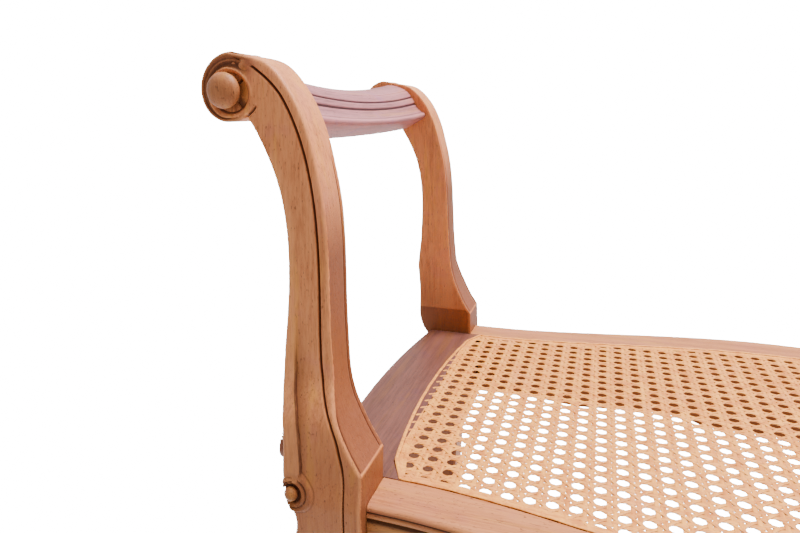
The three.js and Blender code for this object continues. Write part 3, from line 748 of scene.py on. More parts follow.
class Carving:
    """Height, and marks gathered at a set of points: wax with painted shade in hollows, wear with painted
    highlights, a painted pink sheen, and painted shade.
    """

    def __init__(self, count):
        self.height = np.zeros(count)
        self.marks = {name: np.zeros(count) for name in ("hollow", "worn_and_highlit", "blush_and_sheen", "shade")}

    def mark(self, name, values):
        self.marks[name] = np.maximum(self.marks[name], np.clip(values, 0, 1))


class UprightDrawing:
    """The upright's outline and lines, and how far its faces lie at any place on them."""

    def __init__(self, plan, carving):
        self.plan = plan
        self.carving = carving
        rows = np.array(UPRIGHT_ROWS, float)
        steps = rows[:-1, 0].astype(int)
        self.outer = curve(rows[:, 1:3], steps)
        self.inner = curve(rows[:, 3:5], steps, corners=(ROOT_ROW, RIDGE_ROW))
        starts = np.concatenate([[0], np.cumsum(steps)])
        self.bulge = np.interp(np.arange(len(self.outer)), starts, rows[:, 5])
        turns = np.linspace(0, notch_turn(), RIM_STEPS + 1)
        self.rim = about_scroll(turns, scroll_radius(turns))
        self.edge = np.vstack([self.inner, self.rim[1:]])
        self.inner_length = line_length(self.inner)
        rim_turns, rim_insets = np.transpose(RIM_GROOVE)
        rim_turns = np.radians(rim_turns)
        keys = np.vstack([about_scroll(rim_turns, scroll_radius(rim_turns) - rim_insets), GROOVE_LINE])
        self.groove = curve(keys, [GROOVE_STEPS] * (len(keys) - 1))
        self.rim_groove_length = line_length(self.groove[:GROOVE_STEPS * len(RIM_GROOVE)])
        self.band = curve(BAND_LINE, [BAND_STEPS] * (len(BAND_LINE) - 1))

    def faces_at(self, z):
        """Show face, inner face and the two roundings at a height, before the lean."""
        table = np.array(FACE_ROWS, float)
        front, back, outer_round, inner_round = (np.interp(z, table[:, 0], table[:, i]) for i in range(1, 5))
        front = front + in_mm(self.carving.block_proud) * eased(z, BLOCK_SWELL)
        front = front + in_mm(self.carving.foot_proud) * eased(z, FOOT_SWELL)
        return front, back, outer_round, inner_round

    def across(self, row, fractions):
        """Points of a row from the inner to the outer edge, on a line that may bulge."""
        start, end, bulge = self.inner[row], self.outer[row], self.bulge[row]
        chord = end - start
        size = np.linalg.norm(chord)
        if bulge < STRAIGHT_BULGE:
            return start + fractions[:, None] * chord
        half = 2 * math.atan(2 * bulge / size)
        swing = half * (2 * fractions - 1)
        out = np.array([chord[1], -chord[0]]) / size
        radius = size / 2 / math.sin(half)
        along = radius * np.sin(swing)
        up = radius * (np.cos(swing) - math.cos(half))
        return (start + end) / 2 + along[:, None] * chord / size + up[:, None] * out

    def volute(self, offset, carved):
        """The small volute's two turns round its eye, at places given from the eye."""
        radius = np.hypot(offset[:, 0], offset[:, 1])
        turn = np.degrees(np.arctan2(-offset[:, 0], offset[:, 1])) % 360
        table = np.array(VOLUTE_EDGE, float)
        outer_edge = np.where(turn < table[0, 0], 0, np.interp(turn, table[:, 0], table[:, 1]))
        inner_edge = np.interp(turn + 360, table[:, 0], table[:, 1])
        for high, low, crown in zip((outer_edge, inner_edge), (inner_edge, EYE_RECESS), TURN_CROWNS):
            share_in = (high - radius) / np.maximum(high - low, TINY)
            carved.height += np.where((radius < high) & (radius >= low), crown * ridge(share_in), 0)
        recess = eased(radius, EYE_RECESS_EDGE)
        carved.height -= EYE_RECESS_DEPTH * recess
        # The eye's recess and the lines between the turns darken with wax and painted shade, and the volute
        # gets painted shade
        carved.mark("hollow", 0.95 * recess)
        turned = (outer_edge > 0) & (radius > EYE_RECESS)
        carved.mark("hollow", 0.9 * line_near(radius - inner_edge, INNER_TURN_LINE) * turned)
        carved.mark("hollow", 0.6 * line_near(radius - outer_edge, OUTER_TURN_LINE) * turned)
        carved.mark("shade", 0.75 * eased(radius, VOLUTE_SHADE))

    def rounded_edges(self, z, from_edge, from_outer, on_rim, carved):
        """The roundings of both edges, with painted highlights, partly wear, along them."""
        _, _, outer_round, inner_round = self.faces_at(z)
        inner_round = inner_round + (RIM_ROUNDING - inner_round) * on_rim
        carved.height -= rounding(from_edge, inner_round) + rounding(from_outer, outer_round)
        carved.mark("worn_and_highlit", 0.6 * strip_near(from_edge, EDGE_HIGHLIGHT) * (z > LOWEST_EDGE_WEAR))
        post = eased(z, OUTER_HIGHLIGHT_START) * (1 - on_rim)
        carved.mark("worn_and_highlit", 0.6 * strip_near(from_outer, OUTER_HIGHLIGHT) * post)

    def groove_line(self, z, signed, along_groove, carved):
        """The groove beside the bead, slimmer below the post and rounder on the scroll's rim."""
        rounded = eased(along_groove - self.rim_groove_length, ROUND_GROOVE_END)
        slim = eased(z, SLIM_GROOVE)
        drawn = eased(z, GROOVE_FOOT) * eased(along_groove, GROOVE_START)
        strength = drawn * (1 - 0.4 * slim) * (1 - 0.6 * rounded)
        bead_slope = BEAD_SLOPE - BEAD_SLOPE_SLIM * slim - BEAD_SLOPE_ROUND * rounded
        field_slope = FIELD_SLOPE + FIELD_SLOPE_ROUND * rounded
        notch = 1 - np.clip(np.where(signed < 0, -signed / bead_slope, signed / field_slope), 0, 1)
        carved.height -= in_mm(self.carving.groove_depth) * strength * smooth(notch)
        # The groove darkens with wax and painted shade, and its lip gets a painted highlight
        carved.mark("hollow", smooth(notch * 1.25) * np.minimum(strength * 1.6, 1))
        carved.mark("worn_and_highlit", 0.5 * strip_near(signed, GROOVE_HIGHLIGHT) * (signed > 0) * drawn)

    def bead(self, z, from_edge, off_groove, signed, on_rim, carved):
        """The bead between the edge and the groove, rounded down at both its sides."""
        bead_share = from_edge / np.maximum(from_edge + off_groove, TINY)
        crown = ((signed < 0) & (z > LOWEST_BEAD)) * (2 * bead_share - 1) ** 2
        fade = (1 - 0.5 * eased(z, SLIM_GROOVE)) * eased(z, GROOVE_FOOT) * (1 - 0.6 * on_rim)
        carved.height -= in_mm(self.carving.bead_crown) * crown * fade

    def band_step(self, points, carved):
        """The band along the outer edge and the hollow beside it."""
        off_band, along_band, side = nearest(points, self.band)
        length = line_length(self.band)
        beside = (along_band > BAND_TRIM[0]) & (along_band < length - BAND_TRIM[1])
        fade = eased(along_band, BAND_START) * eased(length - along_band, BAND_END)
        on_band = np.where(beside, smooth(side * off_band / BAND_STEP_WIDTH + 0.5), 0)
        in_field = beside & (side < 0)
        hollow = np.where(in_field, strip_near(off_band, BAND_HOLLOW), 0)
        carved.height += in_mm(self.carving.band_step) * (on_band - 0.3 * hollow) * fade
        # Wax and painted shade along the band's line, a painted highlight on the band, and painted shade in
        # the field beside it
        carved.mark("hollow", 0.8 * strip_near(off_band, BAND_LINE_WAX_AND_SHADE) * beside * fade)
        carved.mark("worn_and_highlit", 0.5 * on_band * eased(along_band, BAND_HIGHLIGHT_START))
        carved.mark("shade", 0.7 * hollow * fade)
        carved.mark("shade", 0.6 * strip_near(off_band, BAND_SHADE) * in_field * fade)

    def scroll_face(self, points, off_groove, signed, carved):
        """The scroll's cove, its fine ring and the dished recess."""
        offset = points - SCROLL_CENTRE
        radius = np.hypot(offset[:, 0], offset[:, 1])
        turn = np.degrees(np.arctan2(offset[:, 0], offset[:, 1]))
        turn = np.where(turn < -100, turn + 360, turn)
        line = np.array(RING_LINE, float)
        ring = np.interp(turn % 360, line[:, 0], line[:, 1])
        past = radius - ring
        cove_fade, ring_fade = (eased(turn, a) * eased(turn, b) for a, b in (COVE_TURNS, RING_TURNS))
        width = np.maximum(past + off_groove, TINY)
        share_out = np.where((signed > 0) & (past > 0), past / width, 0)
        cove = ridge(share_out) * cove_fade * eased(width, NARROW_COVE)
        carved.height -= np.minimum(0.5 * width, COVE_DEPTH) * cove
        # The cove darkens with wax and painted shade
        carved.mark("hollow", 0.72 * cove)
        carved.mark("shade", cove_fade * (past > 0) * eased(radius, COVE_SHADE))
        carved.height += RING_HEIGHT * line_near(past, RING_HALF_WIDTH) * ring_fade
        # A painted highlight along the ring
        carved.mark("worn_and_highlit", 0.95 * line_near(past, RING_HIGHLIGHT_WIDTH) * ring_fade)
        carved.height -= RECESS_DEPTH * eased(-past, (DISH_EDGE, ring - DISH_FLOOR))
        # The recess darkens with wax and painted shade
        carved.mark("hollow", eased(-past, RECESS_WAX_AND_SHADE) * (0.85 + 0.15 * ring_fade))

    def crevice(self, points, carved):
        """The dark crevice that runs on from the notch into the scroll."""
        start = notch_turn()
        turns = np.linspace(start, start + CREVICE_TURN, CREVICE_STEPS)
        line = about_scroll(turns, np.linspace(*CREVICE_RADII, CREVICE_STEPS))
        off_crevice, along_crevice, _ = nearest(points, line)
        crevice = line_near(off_crevice, CREVICE_HALF_WIDTH) * eased(along_crevice, CREVICE_END)
        carved.height -= CREVICE_DEPTH * crevice
        # The crevice darkens with wax and painted shade
        carved.mark("hollow", crevice)

    def relief(self, points):
        """The show face's carving at points."""
        carved = Carving(len(points))
        z = points[:, 1]
        from_edge, along_edge, _ = nearest(points, self.edge)
        from_outer, _, _ = nearest(points, self.outer)
        off_groove, along_groove, side = nearest(points, self.groove)
        signed = off_groove * side
        on_rim = eased(along_edge - self.inner_length, RIM_START)
        self.rounded_edges(z, from_edge, from_outer, on_rim, carved)
        self.groove_line(z, signed, along_groove, carved)
        self.bead(z, from_edge, off_groove, signed, on_rim, carved)
        self.band_step(points, carved)
        self.volute(points - VOLUTE_EYE, carved)
        self.scroll_face(points, off_groove, signed, carved)
        self.crevice(points, carved)
        carved.mark("shade", 0.5 * eased(z, BLOCK_SHADE))
        return carved

    def spread(self, u, depth, z):
        """How much further out the outer side lies behind the show face, most beside the block."""
        front, back, _, _ = self.faces_at(z)
        behind = np.clip((front - depth) / (front - back), 0, 1)
        rising = eased(z, SPREAD_START) * (1 - SPREAD_EASE_SHARE * eased(z, SPREAD_EASE))
        return in_mm(self.carving.side_spread) * rising * behind * eased(u, SPREAD_OUT)

    def leaned(self, points, y, drop):
        """Places in the bench of points at a depth, lowered at a back scroll and leaned in."""
        u, z = points[:, 0], points[:, 1]
        u = u + self.spread(u, y, z)
        z = z - drop * eased(u, DROP_OUT) * eased(z, DROP_UP)
        y = y - self.plan.lean * np.maximum(z, 0)
        return np.stack([in_mm(self.plan.half_clear) + u, y, in_mm(self.plan.seat_height) + z], axis=1)


# Columns of the show face's grid: close together at both edges, at the groove and at the band
EDGE_COLUMNS = np.array([0, 0.03, 0.08, 0.16, 0.28, 0.42, 0.6, 0.8])
INNER_COLUMNS = np.concatenate([[0, 0.02, 0.05, 0.09, 0.14, 0.2], np.linspace(0.26, 0.95, 14)])
GROOVE_COLUMNS = np.array([
    -1, -0.72, -0.56, -0.44, -0.33, -0.22, -0.12, -0.03, 0.06, 0.15, 0.25, 0.36, 0.5, 0.72,
])
GROOVE_REACH = 3.4
FIELD_COLUMNS = 12
BAND_COLUMNS = 24
BAND_REACH = 26.0
OUTER_REACH = 4.5
PLAIN_COLUMNS = np.array([0, 0.01, 0.03, 0.06, 0.1, 0.2, 0.35, 0.5, 0.65, 0.8, 0.9, 0.94, 0.97, 0.99, 1.0])
# Rings of the scroll's face: inward from its rim, as parts of the last one, and then as radii
RADIAL_EDGE = np.array([0, 0.12, 0.35, 0.7, 1.15, 1.7, 2.3, 3.0, 3.8, 4.6, 5.4, 6.2])
RING_RADII = np.concatenate([np.arange(18.6, 14.1, -0.4), [13.6, 12.8, 11.8, 10.6, 9, 6, 3, 0]])
# Columns of the wall, from the show face to the inner face, close together at both its lines
WALL_SHARES = np.concatenate([
    [0, 0.02, 0.045, 0.07, 0.09, 0.11, 0.13, 0.15, 0.18, 0.22], np.linspace(0.26, 0.76, 13),
    [0.79, 0.815, 0.835, 0.855, 0.875, 0.895, 0.915, 0.935, 0.96, 0.98, 1],
])
# Shares across a row where the groove is looked for, and rows to each side that its place is evened over
GROOVE_TRIES = np.linspace(0.02, 0.6, 60)
GROOVE_SMOOTHING = 4


def row_columns(drawing, row, groove_place):
    """Shares across a row, with clusters that follow both edges, the groove and the band."""
    size = np.linalg.norm(drawing.outer[row] - drawing.inner[row])
    groove = min(max(groove_place * size, 1.2 * GROOVE_REACH), 0.5 * size)
    reach = min(BAND_REACH, 0.45 * size)
    places = np.concatenate([
        INNER_COLUMNS * (groove - GROOVE_REACH),
        groove + GROOVE_REACH * GROOVE_COLUMNS,
        np.linspace(groove + GROOVE_REACH * 0.9, size - reach, FIELD_COLUMNS, endpoint=False),
        np.linspace(size - reach, size - OUTER_REACH, BAND_COLUMNS, endpoint=False),
        size - OUTER_REACH * np.concatenate([[0.95], EDGE_COLUMNS[::-1]]),
    ])
    return places / size


def groove_places(drawing):
    """Where each row crosses the groove, as a share of the way from its inner edge."""
    points = np.vstack([drawing.across(row, GROOVE_TRIES) for row in range(len(drawing.outer))])
    away, _, _ = nearest(points, drawing.groove)
    best = GROOVE_TRIES[away.reshape(-1, len(GROOVE_TRIES)).argmin(axis=1)]
    padded = np.pad(best, GROOVE_SMOOTHING, mode="edge")
    window = 2 * GROOVE_SMOOTHING + 1
    return np.convolve(padded, np.full(window, 1 / window), mode="valid")


def face_patch(drawing, columns_of):
    """Grid of places from foot to notch, and the round grid of the scroll's face, in u and z."""
    grid = np.array([drawing.across(row, columns_of(row)) for row in range(len(drawing.outer))])
    boundary = np.vstack([grid[-1][::-1], drawing.rim[1:]])
    spokes = []
    for place in boundary:
        reach = np.linalg.norm(place - SCROLL_CENTRE)
        outward = (place - SCROLL_CENTRE) / reach
        start = reach - (reach - RING_RADII[0]) * RADIAL_EDGE / RADIAL_EDGE[-1]
        radii = np.concatenate([start[:-1], RING_RADII])
        spokes.append(SCROLL_CENTRE + outward * radii[:, None])
    return grid, np.array(spokes)


class Shell:
    """Grids of one body gathered into points, depths, marks and faces."""

    def __init__(self):
        self.places, self.depths, self.carvings, self.faces = [], [], [], []

    def gather(self, places, depth, carved):
        """Take in points, and say at which number they start."""
        first = sum(len(part) for part in self.places)
        self.places.append(places)
        self.depths.append(depth)
        self.carvings.append(carved)
        return first

    def lay(self, grid, depth, carved, closed=False):
        first = self.gather(grid.reshape(-1, 2), depth, carved)
        self.faces.extend(grid_faces(*grid.shape[:2], first, closed).tolist())

    def cap(self, places, depth):
        first = self.gather(places, depth, Carving(len(places)))
        self.faces.append(list(range(first, first + len(places))))

    def marks(self):
        names = self.carvings[0].marks
        return {name: np.concatenate([carved.marks[name] for carved in self.carvings]) for name in names}


# The inner face: its edges are less rounded, and it is shaded at the block and just above it
BACK_ROUNDING_SHARE = 0.7
BACK_OUTER_ROUNDING = 3.0
BACK_BLOCK_SHADE = (33, -3)
BACK_POST_SHADE = (33, 70)


def back_fall(drawing, points):
    """How far the inner face falls away at its edges, and the distance from its edge."""
    _, _, outer_round, inner_round = drawing.faces_at(points[:, 1])
    from_edge, _, _ = nearest(points, drawing.edge)
    from_outer, _, _ = nearest(points, drawing.outer)
    fall = rounding(from_edge, inner_round * BACK_ROUNDING_SHARE)
    return fall + rounding(from_outer, np.minimum(outer_round, BACK_OUTER_ROUNDING)), from_edge


def lay_show_face(drawing, shell):
    """The carved face and its scroll; returns the row at the foot."""
    groove = groove_places(drawing)
    grid, spokes = face_patch(drawing, lambda row: row_columns(drawing, row, groove[row]))
    for part, closed in ((grid, False), (spokes, True)):
        flat = part.reshape(-1, 2)
        carved = drawing.relief(flat)
        shell.lay(part, drawing.faces_at(flat[:, 1])[0] + carved.height, carved, closed)
    return grid[0]


def lay_inner_face(drawing, shell):
    """The plain face towards the other upright of the end; returns the row at the foot."""
    grid, spokes = face_patch(drawing, lambda row: PLAIN_COLUMNS)
    for part, closed in ((grid, False), (spokes, True)):
        flat = part.reshape(-1, 2)
        z = flat[:, 1]
        fall, from_edge = back_fall(drawing, flat)
        carved = Carving(len(flat))
        # Painted highlight along the edge, and painted shade at the block and just above it
        carved.mark("worn_and_highlit", 0.5 * strip_near(from_edge, EDGE_HIGHLIGHT))
        carved.mark("shade", eased(z, BACK_BLOCK_SHADE))
        carved.mark("shade", 0.55 - 0.4 * eased(z, BACK_POST_SHADE))
        shell.lay(part, drawing.faces_at(z)[1] + fall, carved, closed)
    return grid[0]


def lay_wall(drawing, shell):
    """The wall all round: up the outer edge, round the scroll from the notch, and down the inner edge."""
    outline = np.vstack([drawing.outer, drawing.rim[::-1][1:], drawing.inner[::-1][1:]])
    front, back, _, _ = drawing.faces_at(outline[:, 1])
    top = front + drawing.relief(outline).height
    bottom = back + back_fall(drawing, outline)[0]
    depth = top[:, None] + (bottom - top)[:, None] * WALL_SHARES
    wall = np.repeat(outline[:, None, :], len(WALL_SHARES), axis=1)
    carved = Carving(depth.size)
    on_outer = np.repeat(np.arange(len(outline)) < len(drawing.outer), len(WALL_SHARES))
    carve_end_volute(drawing, wall, depth.ravel(), on_outer, carved)
    carve_inner_wall(drawing, wall, depth.ravel(), ~on_outer, carved)
    wall[..., 0] += carved.height.reshape(depth.shape)
    shell.lay(wall, depth.ravel(), carved)
    return depth, wall


def upright_shell(drawing):
    """The upright's points, faces and carving marks for one corner, closed by a sole."""
    shell = Shell()
    show_foot = lay_show_face(drawing, shell)
    inner_foot = lay_inner_face(drawing, shell)
    depth, wall = lay_wall(drawing, shell)
    sole = np.concatenate([show_foot, wall[0][1:], inner_foot[::-1][1:], wall[-1][::-1][1:-1]])
    shell.cap(sole, np.concatenate([
        shell.depths[0][:len(show_foot)], depth[0][1:],
        shell.depths[2][:len(inner_foot)][::-1][1:], depth[-1][::-1][1:-1],
    ]))
    return shell


# The volute on the upright's end, and where it meets the front and the back of its wall
END_VOLUTE_PROUD = 1.3
END_DISC = (13.5, -3)
END_SHADE = (15, -3)
END_FRONT = (199, -6)
END_BACK = (153, 4)


def carve_end_volute(drawing, wall, depth, on_outer, carved):
    """The volute on the upright's end, like the one on its show face but prouder."""
    level, height = END_VOLUTE
    offset = np.stack([depth - level, wall[..., 1].ravel() - height], axis=1)
    turned = Carving(len(depth))
    drawing.volute(offset, turned)
    radius = np.hypot(offset[:, 0], offset[:, 1])
    fade = eased(depth, END_FRONT) * eased(depth, END_BACK) * on_outer
    carved.height += (END_VOLUTE_PROUD * turned.height + END_VOLUTE_LIFT * eased(radius, END_DISC)) * fade
    for name, values in turned.marks.items():
        carved.mark(name, values * fade)
    carved.mark("shade", eased(radius, END_SHADE) * fade)


# Lines on the inner wall: place from the wall's edge and half width, how far they stand out, and their top
REAR_LINE = (4.6, 0.9)
FRONT_LINE = (3.8, 0.9)
REAR_LINE_RISE = 1.1
FRONT_LINE_RISE = 0.9
REAR_LINE_TOP = (255, -30)
FRONT_LINE_TOP = (78, -16)
RIDGE_TOP = (27.4, 0.8)
WALL_SHEEN = (110, -60)
WALL_SHADE = (240, -80)
BLOCK_SIDE_TOP = (27.5, -2)
BLOCK_SIDE_FOOT = (-120, 60)


def carve_inner_wall(drawing, wall, depth, on_inner, carved):
    """The dark line near the back of the inner wall and the short one near its front."""
    z = wall[..., 1].ravel()
    front, back, _, _ = drawing.faces_at(z)
    above = on_inner * eased(z, RIDGE_TOP)
    rear_line = strip_near(depth - back, REAR_LINE) * above * eased(z, REAR_LINE_TOP)
    front_line = strip_near(front - depth, FRONT_LINE) * above * eased(z, FRONT_LINE_TOP)
    carved.height += REAR_LINE_RISE * rear_line + FRONT_LINE_RISE * front_line
    # The lines darken with wax and painted shade; the wall gets a painted pink sheen and painted shade, and
    # the block's side painted shade
    carved.mark("hollow", np.maximum(rear_line, front_line))
    carved.mark("blush_and_sheen", 0.6 * above * eased(z, WALL_SHEEN))
    carved.mark("shade", 1.05 * above * eased(z, WALL_SHADE))
    carved.mark("shade", on_inner * eased(z, BLOCK_SIDE_TOP) * eased(z, BLOCK_SIDE_FOOT))


# Turned fittings, as radius and height over their recess floor: foot, dome and tip.
# A dome is its radius, the height of its middle, its rise, the turn that it starts at and its steps.
BOSS_FOOT = ((0.3, -4.0), (3.9, -4.0), (3.9, 0.0), (8.2, 0.2), (7.4, 1.0), (6.9, 2.4), (6.9, 3.9))
BOSS_DOME = (11.8, 10.2, 7.6, -0.95, 22)
BOSS_TIP = (0.3, 17.82)
EYE_FOOT = ((0.2, -3.4), (2.4, -3.4), (2.4, 0.0), (4.5, 0.0), (4.6, 0.5))
EYE_DOME = (5.3, 2.8, 4.2, -0.5, 14)
EYE_TIP = (0.2, 7.0)
DOME_END_TURN = 1.45
FITTING_LIFT = 0.2
# The boss and the eyes take a darker copy of the walnut as painted shade
FITTING_SHADE = 0.55
FACE_EYE_INSET = 0.8
FACE_EYE_AIM = (0.47, 0.88, 0)
BLOCK_WIDTH = 61.2


def domed_profile(foot, dome, tip):
    radius, middle, rise, start, steps = dome
    turns = np.linspace(start, DOME_END_TURN, steps)
    return [*foot, *((radius * math.cos(a), middle + rise * math.sin(a)) for a in turns), tip]


def walnut_tones(scene, factor=1.0):
    tones = scene.bench_finishes
    return tuple(scaled(tone, factor) for tone in (tones.walnut, tones.walnut_light, tones.walnut_dark))


def build_uprights(scene):
    drawing = UprightDrawing(scene.bench_plan, scene.bench_carving)
    finish = wood_finish("waxed_walnut", walnut_tones(scene), "z")
    # A darker copy of the walnut for the boss and the eyes, as painted shade
    shaded_fitting_finish = wood_finish("shaded_walnut", walnut_tones(scene, FITTING_SHADE), "z")
    shell = upright_shell(drawing)
    flat, depth, marks = np.vstack(shell.places), np.concatenate(shell.depths), shell.marks()
    for corner, side_x, side_y in CORNERS:
        drop = in_mm(scene.bench_carving.back_scroll_drop) if side_y > 0 else 0.0
        mirror = np.array([side_x, side_y, 1])
        places = drawing.leaned(flat, depth, drop) * mirror
        name = f"carved_upright_{corner}"
        piece = new_piece(name, places, shell.faces, finish, "walnut", weld=WELD, marks=marks)
        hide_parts(f"upright_{corner}")
        build_fittings(drawing, corner, mirror, drop, shaded_fitting_finish)


def build_fittings(drawing, corner, mirror, drop, finish):
    """The scroll's boss and the two eyes of the small volutes on one upright."""
    plan = drawing.plan
    half_clear, half_depth, seat = (in_mm(v) for v in (plan.half_clear, plan.half_depth, plan.seat_height))
    scroll_out, scroll_up = SCROLL_CENTRE[0], SCROLL_CENTRE[1] - drop
    boss_depth = half_depth - plan.lean * scroll_up - RECESS_DEPTH + FITTING_LIFT
    eye_out, eye_up = VOLUTE_EYE
    eye_depth = drawing.faces_at(eye_up)[0] - plan.lean * eye_up - EYE_RECESS_DEPTH + FITTING_LIFT
    end_depth, end_up = END_VOLUTE
    end_out = BLOCK_WIDTH + END_VOLUTE_LIFT - END_VOLUTE_PROUD * EYE_RECESS_DEPTH + FITTING_LIFT
    boss = domed_profile(BOSS_FOOT, BOSS_DOME, BOSS_TIP)
    eye = domed_profile(EYE_FOOT, EYE_DOME, EYE_TIP)
    fittings = (
        ("turned_boss", "scroll_boss", "", boss, (scroll_out, boss_depth, scroll_up), (0, 1, plan.lean)),
        ("face_eye", "volute_eye", "_face", eye, (eye_out - FACE_EYE_INSET, eye_depth, eye_up), FACE_EYE_AIM),
        ("end_eye", "volute_eye", "_end", eye, (end_out, end_depth, end_up), (1, 0, 0)),
    )
    for name, node, node_end, profile, place, aim in fittings:
        base = (np.array([half_clear, 0, seat]) + place) * mirror
        direction = Vector(aim) * Vector(mirror)
        piece = turned_piece(f"{name}_{corner}", profile, base, direction, finish, "walnut")
        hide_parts(f"{node}_{corner}{node_end}")


# Rails, in millimetres for the quarter where x and y are positive

BOW_START = 20
BOW_RUN = 308
RAIL_HEIGHT = 70
# The underside's steps down: how deep each is, and where it starts from the block and how long it runs
RAIL_DROPS = ((9, (60, 90)), (16, (230, 60)))
END_RAIL_HEIGHT = 74
END_RAIL_DROP = 11
BORDER_CORNER_RUN = 13
BORDER_CORNER_DROP = 22.5
BORDER_END_BOW = 10.4
LEDGE = 10
REBATE = 2


class RailPlan:
    """The seat rails' lines seen from above."""

    def __init__(self, scene):
        plan, carving, rails = scene.bench_plan, scene.bench_carving, scene.bench_rails
        self.half_clear = in_mm(plan.half_clear)
        self.half_depth = in_mm(plan.half_depth)
        self.shoulder = self.half_depth - in_mm(carving.block_thickness + rails.joint_gap)
        self.seat = in_mm(plan.seat_height)
        self.rails = rails
        self.gap = in_mm(rails.joint_gap)
        self.end_face = self.half_depth + in_mm(carving.block_proud + carving.foot_proud - rails.setback)
        self.corner_depth = self.end_face - in_mm(rails.top_width)
        self.side_depth = self.corner_depth - BORDER_CORNER_DROP
        self.corner_run_end = self.half_clear - BORDER_CORNER_RUN

    def bow(self, x):
        return smooth((self.half_clear - BOW_START - np.abs(x)) / BOW_RUN)

    def face(self, x):
        return self.end_face + in_mm(self.rails.bow) * self.bow(x)

    def border(self, x):
        return self.corner_depth + in_mm(self.rails.bow - self.rails.top_gain) * self.bow(x)

    def border_end(self, y):
        across = np.minimum(np.abs(y), self.side_depth) / self.side_depth
        return self.half_clear + BORDER_END_BOW * (1 - across**2)

    def corner_end(self, y):
        past = np.maximum(np.abs(y) - self.side_depth, 0)
        return self.half_clear - past * BORDER_CORNER_RUN / BORDER_CORNER_DROP

    def underside(self, x):
        """How far below the seat a long rail's lower edge lies, in two steps from the block."""
        from_block = self.half_clear - np.abs(x)
        return RAIL_HEIGHT + sum(drop * eased(from_block, reach) for drop, reach in RAIL_DROPS)

    def inside(self, x, y, margin):
        """Whether places lie within the cane's border."""
        depth_clear = np.abs(y) < self.border(x) - margin
        side = np.abs(y) <= self.side_depth
        end_clear = np.abs(x) < self.border_end(y) - margin
        corner_clear = np.abs(x) < np.maximum(self.corner_end(y), self.corner_run_end) - margin
        slope = BORDER_CORNER_DROP / BORDER_CORNER_RUN
        cut = np.abs(y) - self.corner_depth < (self.corner_run_end - np.abs(x)) * slope
        corner_cut = np.where(np.abs(x) > self.corner_run_end, cut, True)
        return depth_clear & np.where(side, end_clear, corner_clear) & corner_cut


# A seat rail's section: places out from its face and up from the seat, and arcs with two radii
LOWER_ROUND = 4
FASCIA_TOP = 13
LOWER_QUIRK = ((-0.3, -12.6), (-1.2, -12.1), (-1.9, -11.4), (-1.7, -10.7))
BEAD_MIDDLE = (-1.9, -8.3)
BEAD_RADII = (1.9, 2.2)
BEAD_TURN = 1.15
UPPER_QUIRK = ((-1.6, -6.0), (-2.1, -5.3), (-1.8, -4.7))
ARRIS_MIDDLE = (-5.5, -4.2)
ARRIS_RADII = (5.1, 4.2)
ARRIS_START_TURN = -0.1
TOP_START = -6.5
# Places out from the cane's border and up from the seat
TOP_END = 1.3
REBATE_EDGE = ((0.7, -0.1), (0.2, -0.4), (0, -0.9), (0, -REBATE))


def arc(middle, radii, start, end, steps):
    turns = np.linspace(start, end, steps)
    return [(middle[0] + radii[0] * math.cos(a), middle[1] + radii[1] * math.sin(a)) for a in turns]


def rail_section(inner, face, border, underside):
    """A seat rail's moulded section, as places out and up from its own zero and the seat."""
    quarter = math.pi / 2
    low_middle = (-LOWER_ROUND, LOWER_ROUND - underside)
    from_face = [
        *arc(low_middle, (LOWER_ROUND, LOWER_ROUND), -quarter, 0, 6),
        *((0, -underside + (underside - FASCIA_TOP) * part) for part in np.linspace(0.12, 0.97, 10)),
        *LOWER_QUIRK,
        *arc(BEAD_MIDDLE, BEAD_RADII, -BEAD_TURN, BEAD_TURN, 9),
        *UPPER_QUIRK,
        *arc(ARRIS_MIDDLE, ARRIS_RADII, ARRIS_START_TURN, quarter, 9),
    ]
    top_start, top_end = face + TOP_START, border + TOP_END
    top = [(top_start + (top_end - top_start) * part, 0) for part in np.linspace(0.05, 0.95, 12)]
    ledge = [((inner + border) / 2, -REBATE), (inner, -REBATE)]
    inner_side = [(inner, -underside * part) for part in (0.3, 0.6, 0.9)]
    sole = [(inner, -underside), ((inner + face) / 2, -underside)]
    rebate = [(border + out, up) for out, up in REBATE_EDGE]
    return [(face + out, up) for out, up in from_face] + top + rebate + ledge + inner_side + sole


LONG_RAIL_STATIONS = 121
END_RAIL_STATIONS = 81
STATION_GAP = 0.05


def long_rail_rings(plan):
    ends = plan.half_clear - plan.gap
    corner = plan.corner_run_end
    beyond = corner + plan.gap
    between = np.linspace(-corner, corner, LONG_RAIL_STATIONS)
    rings = []
    for x in (-ends, -beyond, *between, beyond, ends):
        border = plan.border(x)
        inner = border - LEDGE if abs(x) <= corner else border
        section = rail_section(inner, plan.face(x), border, plan.underside(x))
        rings.append([(x, out, plan.seat + up) for out, up in section])
    return np.array(rings)


def end_rail_lines(plan, y):
    """Where an end rail's inner side and the cane's border lie at a place along it."""
    if abs(y) >= plan.corner_depth - plan.gap:
        return (plan.half_clear + plan.gap,) * 2
    inner = max(min(plan.border_end(y) - LEDGE, plan.corner_end(y)), plan.corner_run_end + 2 * plan.gap)
    return inner, min(plan.border_end(y), max(plan.corner_end(y), inner))


def end_rail_rings(plan):
    notch = plan.corner_depth - plan.gap
    between = np.linspace(STATION_GAP - notch, notch - STATION_GAP, END_RAIL_STATIONS)
    beyond = notch + STATION_GAP
    rings = []
    for y in (-plan.shoulder, -beyond, *between, beyond, plan.shoulder):
        fullness = 1 - (y / plan.shoulder) ** 2
        inner, border = end_rail_lines(plan, y)
        face = plan.half_clear + in_mm(plan.rails.end_set) + in_mm(plan.rails.end_bow) * fullness
        section = rail_section(inner, face, border, END_RAIL_HEIGHT + END_RAIL_DROP * fullness)
        rings.append([(out, y, plan.seat + up) for out, up in section])
    return np.array(rings)


